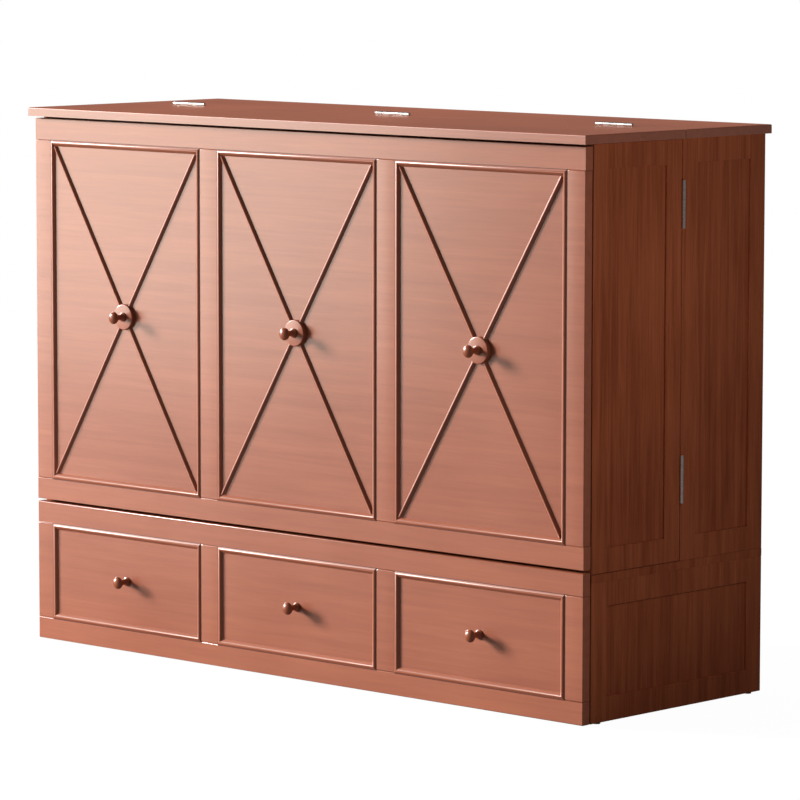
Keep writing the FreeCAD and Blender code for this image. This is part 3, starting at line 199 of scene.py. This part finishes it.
# The moulding finish carries the painted shade in its quirks.
moulding_lacquer = lacquered("lacquer_moulding", "level", LACQUER_DARK, LACQUER_LIGHT, 0.5, 0.36, quirks=True,
                             **{"Specular IOR Level": 0.4, "Coat Weight": 0.5, "Coat Roughness": 0.3})
turned_lacquer = lacquered("lacquer_turned", "deep", (0.20, 0.046, 0.02), (0.34, 0.095, 0.042), 0.6, 0.26)
inside_board = lacquered("inside_board", "level", (0.33, 0.19, 0.11), (0.56, 0.36, 0.22), 0.8, 0.55)
slat_pine_level, slat_pine_upright, slat_pine_deep = [
    lacquered("slat_wood_" + grain, grain, (0.50, 0.32, 0.17), (0.74, 0.55, 0.34), 1.0, 0.6)
    for grain in ("level", "upright", "deep")]
print("wood finishes", 9)

# %% [markdown]
# ## Metal, plastic and felt
# The hinges are bright nickel with a drawn grain, the deck's arms and tubes are powder coated, which is a fine
# orange-peel bump, and the small feet and pads are matt.

# %% Metal and small parts
def speckled(name, dark, light, scale, rough, spread, depth, **constants):
    """A finish of one noise: its colour, its roughness and its bump all follow the same grain."""
    def paint(start):
        place = start.node("ShaderNodeTexCoord", out="Object")
        grain = start.node("ShaderNodeTexNoise", None, {"Vector": place, "Scale": scale, "Detail": 4.0})
        colour = start.node("ShaderNodeValToRGB", {"stops": [(0.3, dark), (0.7, light)]}, {"Fac": grain})
        bump = start.node("ShaderNodeBump", None, {"Height": grain, "Strength": 0.5, "Distance": depth})
        return {"Base Color": colour, "Roughness": (grain - 0.5) * spread + rough, "Normal": bump}
    return new_finish(name, paint, **constants)


nickel = speckled("bright_nickel", (0.62, 0.61, 0.59), (0.80, 0.79, 0.76), 900.0, 0.28, 0.2, 0.00002, Metallic=1.0)
powder_coat = speckled("powder_coat", (0.030, 0.030, 0.032), (0.055, 0.055, 0.058), 1500.0, 0.45, 0.2, 0.00008)
zinc = speckled("zinc_slide", (0.42, 0.43, 0.44), (0.60, 0.61, 0.62), 240.0, 0.38, 0.3, 0.00002, Metallic=1.0)
foot_plastic = speckled("foot_plastic", (0.016, 0.016, 0.017), (0.03, 0.03, 0.032), 1200.0, 0.55, 0.2, 0.00005)
felt = speckled("brown_felt", (0.06, 0.035, 0.022), (0.15, 0.09, 0.06), 2600.0, 0.95, 0.1, 0.0003)

# %% [markdown]
# ## Dressing the construction
# A node that already has the right shape keeps its mesh and only changes its material. Each body's slats run
# a different way, so they take the finish whose grain runs along them.

# %% Materials for the nodes
DRESS = {
    level_lacquer: "front_rosettes front_rails front_stiles front_fields drawer_rails drawer_stiles drawer_fields",
    moulding_lacquer: "front_beads front_crosses drawer_beads",
    top_lacquer: "top_rear_leaf top_front_leaf",
    upright_lacquer: "side_frames side_panels left_wing_frame left_wing_panel right_wing_frame right_wing_panel "
                     "deck_board",
    turned_lacquer: "front_knobs drawer_knobs",
    inside_board: "base_back base_front_rail back_panel back_rails drawer_box drawer_bottom drawer_dividers",
    slat_pine_level: "head_slats mid_slats foot_cross_rails extension_rails",
    slat_pine_upright: "panel_cheeks mid_battens foot_side_rails foot_slats extension_slats near_leg_bearings "
                       "far_leg_bearings",
    slat_pine_deep: "head_bearers",
    powder_coat: "pivot_arms foot_pivots near_leg_frame far_leg_frame",
    zinc: "drawer_slide_outers drawer_slide_inners pivot_pins",
    nickel: "fixed_hinge_leaves hinge_pins lid_hinge_leaves left_wing_hinge_leaves right_wing_hinge_leaves",
    foot_plastic: "near_leg_feet far_leg_feet floor_glides",
    felt: "lid_pads closing_bumpers",
}
for finish, names in DRESS.items():
    for name in names.split():
        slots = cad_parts[name].data.materials
        for index in range(len(slots)):
            slots[index] = finish
        if not len(slots):
            slots.append(finish)
print("dressed", sum(len(names.split()) for names in DRESS.values()))

# %% [markdown]
# ## Making pieces
# Every new piece is worked out as arrays of points and faces and handed to one function, which turns its faces
# outwards, shades its curves smooth and keeps its corners crisp. The piece then rides on the same body as the
# node that it stands for.

# %% A mesh from arrays
def point_values(mesh, name, values):
    """One number for every point of a mesh, which a material reads by its name."""
    layer = mesh.attributes.new(name, "FLOAT", "POINT")
    layer.data.foreach_set("value", np.asarray(values, np.float32))


def shape_piece(name, points, faces, body, finish, nodes, numbers, bevel=None):
    """One object at the origin from points in metres; numbers is each point's board number."""
    mesh = bpy.data.meshes.new(name)
    mesh.from_pydata(np.asarray(points).tolist(), [], [list(face) for face in faces])
    work = bmesh.new()
    work.from_mesh(mesh)
    bmesh.ops.recalc_face_normals(work, faces=work.faces)
    work.to_mesh(mesh)
    work.free()
    mesh.polygons.foreach_set("use_smooth", np.ones(len(mesh.polygons), bool))
    mesh.set_sharp_from_angle(angle=math.radians(32))
    point_values(mesh, "board_number", numbers)
    mesh.materials.append(finish)
    piece = bpy.data.objects.new(name, mesh)
    bpy.context.scene.collection.objects.link(piece)
    if bevel:
        easing = piece.modifiers.new("eased_edges", "BEVEL")
        easing.width, easing.segments, easing.limit_method = bevel, 2, "ANGLE"
        easing.angle_limit = math.radians(40)
    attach(piece, body)
    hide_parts(*nodes)
    print(name, len(points), "points")
    return piece


def gather(shapes):
    """Several (points, faces) as one, with a number for each of them on its points."""
    points, faces, numbers, start = [], [], [], 0
    for shape_points, shape_faces in shapes:
        points.append(shape_points)
        faces += [[start + index for index in face] for face in shape_faces]
        numbers.append(np.full(len(shape_points), rng.random()))
        start += len(shape_points)
    return np.vstack(points), faces, np.concatenate(numbers)

# %% [markdown]
# ## The show faces' boards
# Stiles, mullions and rails are straight boards whose long front edges are rounded over by hand, which is what
# makes the soft change of light beside each joint. A board is eight corners and six faces, and a Bevel
# modifier eases all its edges at once.

# %% Boards
FRONT_FACE, BACK_OF_FRONT = -0.2705, -0.2485
HALF_WIDTH, FIELD, PITCH = 0.813, 0.473, 0.527
RAIL, STILE, MULLION = 0.048, 0.0495, 0.054
PANEL = (0.321, 1.179)
DRAWER = (0.003, 0.315)
JOINT_GAP = 0.0002
FRONT_EASE, SIDE_EASE = 0.0014, 0.0009
FRONTS = (("front", "front_panel", PANEL), ("drawer", "drawer", DRAWER))
FIELD_CENTRES = (-PITCH, 0, PITCH)


def boards(corners):
    """Boxes from rows of low and high corners (x0, y0, z0, x1, y1, z1)."""
    pick = np.array([[(corner >> axis) & 1 for axis in range(3)] for corner in range(8)])
    quads = [[0, 4, 6, 2], [1, 3, 7, 5], [0, 1, 5, 4], [2, 6, 7, 3], [0, 2, 3, 1], [4, 5, 7, 6]]
    rows = np.asarray(corners, float).reshape(-1, 2, 3)
    return [(np.take_along_axis(row, pick, 0), quads) for row in rows]


def stile_rows(low, high):
    """The two stiles and two mullions between a front's rails."""
    z0, z1 = low + RAIL + JOINT_GAP, high - RAIL - JOINT_GAP
    edges = [(-HALF_WIDTH, -HALF_WIDTH + STILE), (-FIELD / 2 - MULLION, -FIELD / 2),
             (FIELD / 2, FIELD / 2 + MULLION), (HALF_WIDTH - STILE, HALF_WIDTH)]
    return [(x0, FRONT_FACE, z0, x1, BACK_OF_FRONT, z1) for x0, x1 in edges]


def crowned(row, rise=0.0004, count=9):
    """A box whose front face is planed very slightly round: y = front - rise x (1 - t squared)."""
    x0, front, z0, x1, back, z1 = row
    t = np.linspace(-1, 1, count)
    x = x0 + (x1 - x0) * (1 + t) / 2
    outline = np.concatenate([np.stack([x, front - rise * (1 - t ** 2)], 1), [[x1, back], [x0, back]]])
    size = len(outline)
    points = np.vstack([np.column_stack([outline, np.full(size, z)]) for z in (z0, z1)])
    index = np.arange(size)
    after = (index + 1) % size
    walls = np.stack([index, after, size + after, size + index], -1).tolist()
    return points, walls + [index[::-1].tolist(), (size + index).tolist()]


for name, body, (low, high) in FRONTS:
    points, faces, numbers = gather([crowned(row) for row in stile_rows(low, high)])
    shape_piece(name + "_stiles_eased", points, faces, body, level_lacquer, [name + "_stiles"],
                numbers, FRONT_EASE)
low, high = DRAWER
rows = [(-HALF_WIDTH, FRONT_FACE, z, HALF_WIDTH, BACK_OF_FRONT, z + RAIL) for z in (low, high - RAIL)]
points, faces, numbers = gather(boards(rows))
shape_piece("drawer_rails_eased", points, faces, "drawer", level_lacquer, ["drawer_rails"],
            numbers, FRONT_EASE)

# %% [markdown]
# The folding front's rails carry slots and bores for the pivots, so they aren't rebuilt: a copy of the node's
# own mesh has its loose triangles joined, flat areas merged, and the same Bevel put on.

# %% Eased copies
def eased_copy(name, node, body, finish, width, number_of):
    """A merged copy of a CAD node with its edges eased; number_of gives board numbers from the points."""
    work = bmesh.new()
    work.from_mesh(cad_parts[node].data)
    bmesh.ops.remove_doubles(work, verts=work.verts, dist=1e-6)
    bmesh.ops.dissolve_limit(work, angle_limit=math.radians(1), verts=work.verts, edges=work.edges)
    work.verts.index_update()
    points = np.array([vertex.co[:] for vertex in work.verts])
    faces = [[vertex.index for vertex in face.verts] for face in work.faces]
    work.free()
    return shape_piece(name, points, faces, body, finish, [node], number_of(points), width)


eased_copy("front_rails_eased", "front_rails", "front_panel", level_lacquer, 0.0012,
           lambda points: np.where(points[:, 2] > 0.7, 0.35, 0.8))

# %% [markdown]
# ## The sides
# Each side is three frames: the plinth, the wing that swings aside and the fixed rear half. Stiles run through
# and the rails are let in between them.

# %% Side frames
SIDE = (0.793, 0.813)
SIDE_STILE, SIDE_RAIL = 0.049, 0.051


def frame_rows(y0, y1, z0, z1):
    """Two stiles and two rails of one side frame on the right; x is filled in by the caller."""
    inner0, inner1 = y0 + SIDE_STILE, y1 - SIDE_STILE
    return [(y0, z0, inner0, z1), (inner1, z0, y1, z1), (inner0, z0, inner1, z0 + SIDE_RAIL),
            (inner0, z1 - SIDE_RAIL, inner1, z1)]


def side_rows(frames, sign):
    """Rows for boards() on one side; sign is -1 for the left."""
    low, high = sorted((sign * SIDE[0], sign * SIDE[1]))
    return [(low, y0, z0, high, y1, z1) for box in frames for y0, z0, y1, z1 in frame_rows(*box)]


def depth(value):
    """A depth in millimetres behind the front's face, as a place along Y in metres."""
    return FRONT_FACE + value / 1000


BASE_FRAME = (depth(25), depth(575), 0.003, 0.292)
REAR_FRAME = (depth(305), depth(575), 0.309, 1.184)
WING_FRAME = (depth(25), depth(303), 0.310, 1.183)
rows = [row for sign in (-1, 1) for row in side_rows([BASE_FRAME, REAR_FRAME], sign)]
points, faces, numbers = gather(boards(rows))
shape_piece("side_frames_eased", points, faces, "cabinet", upright_lacquer, ["side_frames"],
            numbers, SIDE_EASE)
for side, sign in (("left", -1), ("right", 1)):
    points, faces, numbers = gather(boards(side_rows([WING_FRAME], sign)))
    shape_piece(side + "_wing_frame_eased", points, faces, side + "_wing", upright_lacquer,
                [side + "_wing_frame"], numbers, SIDE_EASE)

# %% [markdown]
# ## Bead mouldings
# A low pitched bead runs round each field and is mitred at its corners. The same profile is set in from each
# corner of the field's rectangle: where a point of the profile lies `inset` from the edge, the loop's corner
# lies at half the width less the inset, and half the height less the inset, which is what a mitre is. The
# section, and how far its ridge lies off the middle, were chosen beside the photograph.

# %% Beads
RECESS, FLANK, RIDGE = 0.003, 0.0004, 0.30
BEAD, BEAD_CREST, BEAD_MIDDLE, BEAD_FOOT = 0.013, 0.0030, 0.43, 0.0002
QUIRK, LAP = 0.0012, 0.0015
BAR, BAR_CREST = 0.012, 0.0025
PROFILE_STEPS = 15


def pitched_profile(width, outside, crest, quirk, middle):
    """Rows (across, forward) of a pitched bead.

    At t = -1 to 1 across it its height falls from a softened ridge at the share `middle` of its width, as the
    square root of (t squared + RIDGE squared) grows. Its outer half ends in a quirk at the depth `outside` and its
    inner half just above the field.
    """
    t = np.linspace(-1, 1, PROFILE_STEPS)
    inside = FLANK - RECESS
    base = np.where(t < 0, outside, inside)
    fall = (np.sqrt(t ** 2 + RIDGE ** 2) - RIDGE) / (math.sqrt(1 + RIDGE ** 2) - RIDGE)
    forward = base + (crest - base) * (1 - fall)
    ridge = quirk + middle * (width - quirk)
    across = ridge + np.where(t < 0, t * (ridge - quirk), t * (width - ridge))
    outer_wall, inner_wall = [[0, -RECESS], [0, outside]], [[width, inside], [width, -RECESS]]
    return np.vstack([outer_wall, np.stack([across, forward], 1), inner_wall])


def stain(piece, profiles):
    """Painted shade in a moulding's quirks: all of it at each profile's outer foot, half at the inner, none between.
    """
    share = np.zeros(PROFILE_STEPS + 4)
    share[:3], share[-2:] = 1.0, 0.5
    point_values(piece.data, "stain", np.tile(share, profiles))


def bead_loop(centre_x, low, high):
    """A mitred bead round one field; x = side x (half width - inset), z = end x (half height - inset)."""
    inset, forward = pitched_profile(BEAD + LAP, BEAD_FOOT, BEAD_CREST, QUIRK, BEAD_MIDDLE).T
    inset = inset - LAP
    half_height = (high - low) / 2 - RAIL
    hands = np.array([-1, 1, 1, -1])[:, None]
    ends = np.array([-1, -1, 1, 1])[:, None]
    x = centre_x + hands * (FIELD / 2 - inset)
    z = (low + high) / 2 + ends * (half_height - inset)
    y = np.broadcast_to(FRONT_FACE - forward, x.shape)
    count = len(inset)
    corner, row = np.meshgrid(np.arange(4), np.arange(count), indexing="ij")
    step, side = (corner + 1) % 4, (row + 1) % count
    quads = np.stack([corner * count + row, step * count + row, step * count + side, corner * count + side], -1)
    return np.stack([x, y, z], -1).reshape(-1, 3), quads.reshape(-1, 4).tolist()


for name, body, (low, high) in FRONTS:
    points, faces, numbers = gather([bead_loop(centre, low, high) for centre in FIELD_CENTRES])
    piece = shape_piece(name + "_bead_loops", points, faces, body, moulding_lacquer,
                        [name + "_beads"], numbers)
    # Painted shade goes into the beads' quirks.
    stain(piece, 3 * 4)

# %% [markdown]
# ## Crossed bars
# Four half bars run from the round block in the middle of a field to its corners. A point of the bar lies `t`
# along the diagonal and `u` across it. The bar starts where it meets the round block, at the square root of
# (radius squared - u squared), and stops where it meets either bead, whichever comes first, which gives the
# pointed end that a joiner copes by hand.

# %% Bars
ROSETTE, OVERLAP = 0.0285, 0.0005


def half_bar(centre_x, centre_z, half_wide, half_tall, hand, end):
    """One half bar; hand and end are the signs of the corner that it runs to."""
    across, forward = pitched_profile(BAR, FLANK - RECESS, BAR_CREST, 0.0, 0.5).T
    across = across - BAR / 2
    along = np.array([hand * half_wide, end * half_tall]) / math.hypot(half_wide, half_tall)
    normal = np.array([-along[1], along[0]])
    start = np.sqrt(ROSETTE ** 2 - across ** 2) - OVERLAP
    to_side = (half_wide - hand * across * normal[0]) / abs(along[0])
    to_end = (half_tall - end * across * normal[1]) / abs(along[1])
    stop = np.minimum(to_side, to_end)
    rings = [[centre_x + across * normal[0] + t * along[0], FRONT_FACE - forward,
              centre_z + across * normal[1] + t * along[1]] for t in (start, stop)]
    count = len(across)
    row = np.arange(count - 1)
    skin = np.stack([row, row + 1, count + row + 1, count + row], -1).tolist()
    back = [[0, count, 2 * count - 1, count - 1]]
    caps = [list(range(count)), list(range(2 * count - 1, count - 1, -1))]
    return np.stack(rings).transpose(0, 2, 1).reshape(-1, 3), skin + back + caps


low, high = PANEL
middle, half_tall = (low + high) / 2, (high - low) / 2 - RAIL - BEAD
halves = [half_bar(centre, middle, FIELD / 2 - BEAD, half_tall, hand, end)
          for centre in FIELD_CENTRES for hand in (-1, 1) for end in (-1, 1)]
points, faces, numbers = gather(halves)
piece = shape_piece("front_cross_bars", points, faces, "front_panel", moulding_lacquer,
                    ["front_crosses"], numbers)
# Painted shade goes along the bars' feet.
stain(piece, 12 * 2)

# %% [markdown]
# ## Turned knobs and round blocks
# A lathe turns a profile: each row (radius, height) becomes a ring. The two ends of the profile lie on the
# axis, where a fan of triangles closes the shape. The knob is a flattened ball on a neck that flares to a
# collar.

# %% Lathe
def lathe(profile, steps):
    """A profile of (radius, height) rows turned round Z: x = r cos a, y = r sin a, z = h."""
    radius, height = np.asarray(profile, float).T
    angle = np.linspace(0, 2 * math.pi, steps, endpoint=False)
    inner = slice(1, -1)
    rings = np.stack([np.outer(radius[inner], np.cos(angle)), np.outer(radius[inner], np.sin(angle)),
                      np.repeat(height[inner, None], steps, 1)], -1).reshape(-1, 3)
    count = len(radius) - 2
    ring, turn = np.meshgrid(np.arange(count - 1), np.arange(steps), indexing="ij")
    after = (turn + 1) % steps
    quads = np.stack([ring * steps + turn, ring * steps + after, (ring + 1) * steps + after,
                      (ring + 1) * steps + turn], -1).reshape(-1, 4).tolist()
    turn, after = np.arange(steps), (np.arange(steps) + 1) % steps
    first = np.stack([np.full(steps, count * steps), after, turn], -1).tolist()
    last = np.stack([np.full(steps, count * steps + 1), (count - 1) * steps + turn, (count - 1) * steps + after], -1)
    return np.vstack([rings, [[0, 0, height[0]], [0, 0, height[-1]]]]), quads + first + last.tolist()


def facing(shape, x, y, z):
    """A turned shape with its axis pointing forward, set at a place."""
    points, faces = shape
    return np.stack([x + points[:, 0], y - points[:, 2], z + points[:, 1]], -1), faces


def knob_profile(reach):
    """Collar, flare, neck and a flattened ball: radius = 13.5 sin a, height = tip - 8 (1 - cos a), in mm."""
    lowest = math.pi - math.asin(6 / 13.5)
    angle = np.linspace(lowest, 0, 22)
    ball = np.stack([13.5 * np.sin(angle), reach - 8 * (1 - np.cos(angle))], 1)
    turn = np.linspace(0, math.pi / 2, 7)
    flare = np.stack([6 + 4 * (1 - np.sin(turn)), 3 + 7 * (1 - np.cos(turn))], 1)
    lip = [[0, 0], [9.7, 0], [10, 0.4], [10, 2.6], [9.9, 3]]
    return np.vstack([lip, flare[1:], ball[:-1], [0, reach]]) / 1000


def block_profile(height):
    """The round block: a disc whose front edge is rounded to 2 mm."""
    turn = np.linspace(0, math.pi / 2, 7)
    edge = np.stack([26.5 + 2 * np.cos(turn), height - 2 + 2 * np.sin(turn)], 1)
    return np.vstack([[0, 0], [28.5, 0], edge, [0, height]]) / 1000


def turned_row(name, node, profile, steps, y, z, body, finish):
    """The same turning in front of each of the three fields, as one piece."""
    points, faces, numbers = gather([facing(lathe(profile, steps), x, y, z) for x in FIELD_CENTRES])
    shape_piece(name, points, faces, body, finish, [node], numbers)


FIELD_FACE, KNOB_SEAT = FRONT_FACE + RECESS, FRONT_FACE - 0.0055
panel_middle, drawer_middle = sum(PANEL) / 2, sum(DRAWER) / 2
turned_row("front_round_blocks", "front_rosettes", block_profile(8.5), 96, FIELD_FACE, panel_middle, "front_panel",
           level_lacquer)
turned_row("front_turned_knobs", "front_knobs", knob_profile(36.5), 64, KNOB_SEAT, panel_middle, "front_panel",
           turned_lacquer)
turned_row("drawer_turned_knobs", "drawer_knobs", knob_profile(36.5), 64, FIELD_FACE, drawer_middle, "drawer",
           turned_lacquer)

# %% [markdown]
# ## Butt hinges
# Each hinge is five knuckles round one pin, with a thin leaf in the seam below or behind them. The knuckles are
# turned with a tiny chamfer at each end, so that the gaps between them catch the light.

# %% Hinges
KNUCKLE, LENGTH, LEAF = 3.6, 100.0, 0.85
KNUCKLE_GAP, CHAMFER, PIN_SIDE = 0.15, 0.35, 0.0001
LID_LINE = (depth(302), 1.2069)
WING_LINE = (0.8169, depth(304))


def barrel(start, end, radius, ease):
    """A short round bar along Z in millimetres, its ends chamfered by ease."""
    rows = [[0, start], [radius - ease, start], [radius, start + ease],
            [radius, end - ease], [radius - ease, end], [0, end]]
    points, faces = lathe(rows, 32)
    return points / 1000, faces


def along_x(shape, x, y, z):
    """A shape whose axis runs along Z, laid along X."""
    points, faces = shape
    return np.stack([x + points[:, 2], y + points[:, 0], z + points[:, 1]], -1), faces


def upright(shape, x, y, z):
    """A shape whose axis stays along Z, set at a place."""
    points, faces = shape
    return points + np.array([x, y, z]), faces


def knuckle_spans(which):
    """Start and end of each knuckle of one leaf: 0 for the leaf that stays, 1 for the one that moves."""
    step = LENGTH / 5
    return [(-LENGTH / 2 + index * step + KNUCKLE_GAP, -LENGTH / 2 + (index + 1) * step - KNUCKLE_GAP)
            for index in range(5) if index % 2 == which]


def knuckles(which):
    """The barrels of one leaf."""
    return [barrel(start, end, KNUCKLE, CHAMFER) for start, end in knuckle_spans(which)]


def hinge_leaf(which):
    """Rows of the leaf and its webs (start, end along the axis; low, high below it), in millimetres."""
    plate = (-LENGTH / 2 + KNUCKLE_GAP, LENGTH / 2 - KNUCKLE_GAP, -18.6, -4.6)
    return [plate] + [(start, end, -6.0, -1.0) for start, end in knuckle_spans(which)]


def leaf_offset(which):
    """Where the leaf's two faces lie behind or in front of the pin."""
    return (PIN_SIDE, PIN_SIDE + LEAF / 1000) if which == 0 else (-PIN_SIDE - LEAF / 1000, -PIN_SIDE)


def lid_hinge(x, which):
    """One leaf of a hinge of the top, at a place along X."""
    y, z = LID_LINE
    shapes = [along_x(shape, x, y, z) for shape in knuckles(which)]
    offset = leaf_offset(which)
    rows = [(x + a / 1000, y + offset[0], z + low / 1000, x + b / 1000, y + offset[1], z + top / 1000)
            for a, b, low, top in hinge_leaf(which)]
    return shapes + boards(rows)


def wing_hinge(sign, z, which):
    """One leaf of a wing's hinge, at a height; sign is -1 for the left wing."""
    x, y = sign * WING_LINE[0], WING_LINE[1]
    shapes = [upright(shape, x, y, z) for shape in knuckles(which)]
    offset = leaf_offset(which)
    rows = []
    for a, b, low, top in hinge_leaf(which):
        near, far = sorted((x + sign * low / 1000, x + sign * top / 1000))
        rows.append((near, y + offset[0], z + a / 1000, far, y + offset[1], z + b / 1000))
    return shapes + boards(rows)


LID_PLACES = (-0.63, 0.0, 0.63)
WING_PLACES = (0.480, 1.049)
fixed = [shape for x in LID_PLACES for shape in lid_hinge(x, 0)]
fixed += [shape for sign in (-1, 1) for z in WING_PLACES for shape in wing_hinge(sign, z, 0)]
points, faces, numbers = gather(fixed)
shape_piece("hinge_leaves_fixed", points, faces, "cabinet", nickel, ["fixed_hinge_leaves"], numbers)
points, faces, numbers = gather([shape for x in LID_PLACES for shape in lid_hinge(x, 1)])
shape_piece("hinge_leaves_lid", points, faces, "lid", nickel, ["lid_hinge_leaves"], numbers)
for side, sign in (("left", -1), ("right", 1)):
    points, faces, numbers = gather([shape for z in WING_PLACES for shape in wing_hinge(sign, z, 1)])
    shape_piece(side + "_wing_hinges", points, faces, side + "_wing", nickel,
                [side + "_wing_hinge_leaves"], numbers)

# %% [markdown]
# ## The studio
# The floor and the background are white where the camera sees them, but they don't light the cabinet more than
# a plain studio would: a Light Path node tells the camera's own rays from the rest. The floor keeps a
# soft share of its real shading, so the cabinet's shadow stays on it.

# %% Floor and world
floor_mesh = bpy.data.meshes.new("studio_floor")
floor_mesh.from_pydata([(-30, -30, 0), (30, -30, 0), (30, 30, 0), (-30, 30, 0)], [], [(0, 1, 2, 3)])
floor = bpy.data.objects.new("studio_floor", floor_mesh)
bpy.context.scene.collection.objects.link(floor)


def ray_kinds(start):
    """Whether a ray comes from the camera, a glossy surface or one that lets light through."""
    return [start.node("ShaderNodeLightPath", out=kind)
            for kind in ("Is Camera Ray", "Is Glossy Ray", "Is Transmission Ray")]


def studio_floor():
    """Pale floor whose own shading shows through a white layer that only the camera and mirrors see."""
    material = bpy.data.materials.new("studio_floor")
    material.use_nodes = True
    tree = material.node_tree
    tree.nodes.clear()
    start = Shade(tree)
    place = start.node("ShaderNodeTexCoord", out="Object")
    grain = start.node("ShaderNodeTexNoise", None, {"Vector": place, "Scale": 1.5, "Detail": 3.0})
    greys = [(0.0, (0.17, 0.17, 0.17)), (1.0, (0.21, 0.21, 0.21))]
    tint = start.node("ShaderNodeValToRGB", {"stops": greys}, {"Fac": grain})
    plain = start.node("ShaderNodeBsdfDiffuse", None, {"Color": tint})
    white = start.node("ShaderNodeEmission", None, {"Color": (1, 1, 1, 1), "Strength": 1.22})
    seen, glossy, through = ray_kinds(start)
    share = seen * 0.8 + glossy * 0.04 + through * 0.8
    mixed = start.node("ShaderNodeMixShader", None, {0: share, 1: plain, 2: white})
    start.node("ShaderNodeOutputMaterial", None, {"Surface": mixed})
    return material


floor.data.materials.append(studio_floor())
AMBIENT, MIRRORED = 0.03, 0.09
world = bpy.data.worlds.new("studio")
bpy.context.scene.world = world
world.use_nodes = True
world.node_tree.nodes.clear()
start = Shade(world.node_tree)
seen, glossy, through = ray_kinds(start)
level = AMBIENT + (1 - AMBIENT) * seen + (1 - AMBIENT) * through + MIRRORED * glossy
background = start.node("ShaderNodeBackground", None, {"Color": (1, 1, 1, 1), "Strength": level})
start.node("ShaderNodeOutputWorld", None, {"Surface": background})
print("ambient", AMBIENT)

# %% [markdown]
# ## The lamps
# The knobs' shadows fall to the right and a little down with soft edges, so a sun that looks thirteen degrees
# wide is the key light. A tall softbox stands to the left of the camera: the lacquer mirrors it, which gives the
# pale sheen that fades from the upper left to the lower right. Three weaker lamps, low in front, overhead and
# beside the cabinet, only fill: they keep the drawer, the top and the side readable and aren't mirrored. Their
# powers were tuned by comparing patches of colour with the photograph.

# %% Lamps
def aim(lamp, place, target):
    """Puts a lamp at a place and points it, along its own -Z, at a target."""
    back = np.array(place, float) - np.array(target, float)
    back = back / np.linalg.norm(back)
    side = np.cross([0, 0, 1] if abs(back[2]) < 0.99 else [0, 1, 0], back)
    side = side / np.linalg.norm(side)
    turn = np.eye(4)
    turn[:3, 0], turn[:3, 1], turn[:3, 2], turn[:3, 3] = side, np.cross(back, side), back, place
    lamp.matrix_world = Matrix(turn.tolist())


def softbox(name, place, target, wide, tall, power, colour=(1.0, 1.0, 1.0), mirrored=True):
    """A rectangular lamp that the camera doesn't see; one that isn't mirrored only fills."""
    lamp = bpy.data.objects.new(name, bpy.data.lights.new(name, "AREA"))
    lamp.data.shape, lamp.data.size, lamp.data.size_y = "RECTANGLE", wide, tall
    lamp.data.energy, lamp.data.color = power, colour
    lamp.visible_camera, lamp.visible_glossy = False, mirrored
    aim(lamp, place, target)
    bpy.context.scene.collection.objects.link(lamp)


key = bpy.data.objects.new("key_light", bpy.data.lights.new("key_light", "SUN"))
key.data.energy, key.data.angle = 6.5, math.radians(13)
aim(key, (-5.2, -2.4, 1.7), (0, 0, 0))
bpy.context.scene.collection.objects.link(key)
softbox("tall_softbox", (-4.65, -3.4, 1.75), (0, -0.27, 0.7), 3.4, 3.4, 158.0, (1.0, 0.98, 0.86))
softbox("low_softbox", (-1.9, -1.6, 0.3), (-0.2, -0.27, 0.2), 1.2, 0.5, 14.0, mirrored=False)
softbox("overhead_softbox", (-0.6, 0.7, 3.6), (-0.6, 0.7, 0), 2.6, 2.0, 54.0, mirrored=False)
softbox("side_softbox", (1.9, -0.27, 0.95), (0.8, 0.0, 0.8), 0.5, 0.8, 4.4, mirrored=False)
print("lamps", 5)
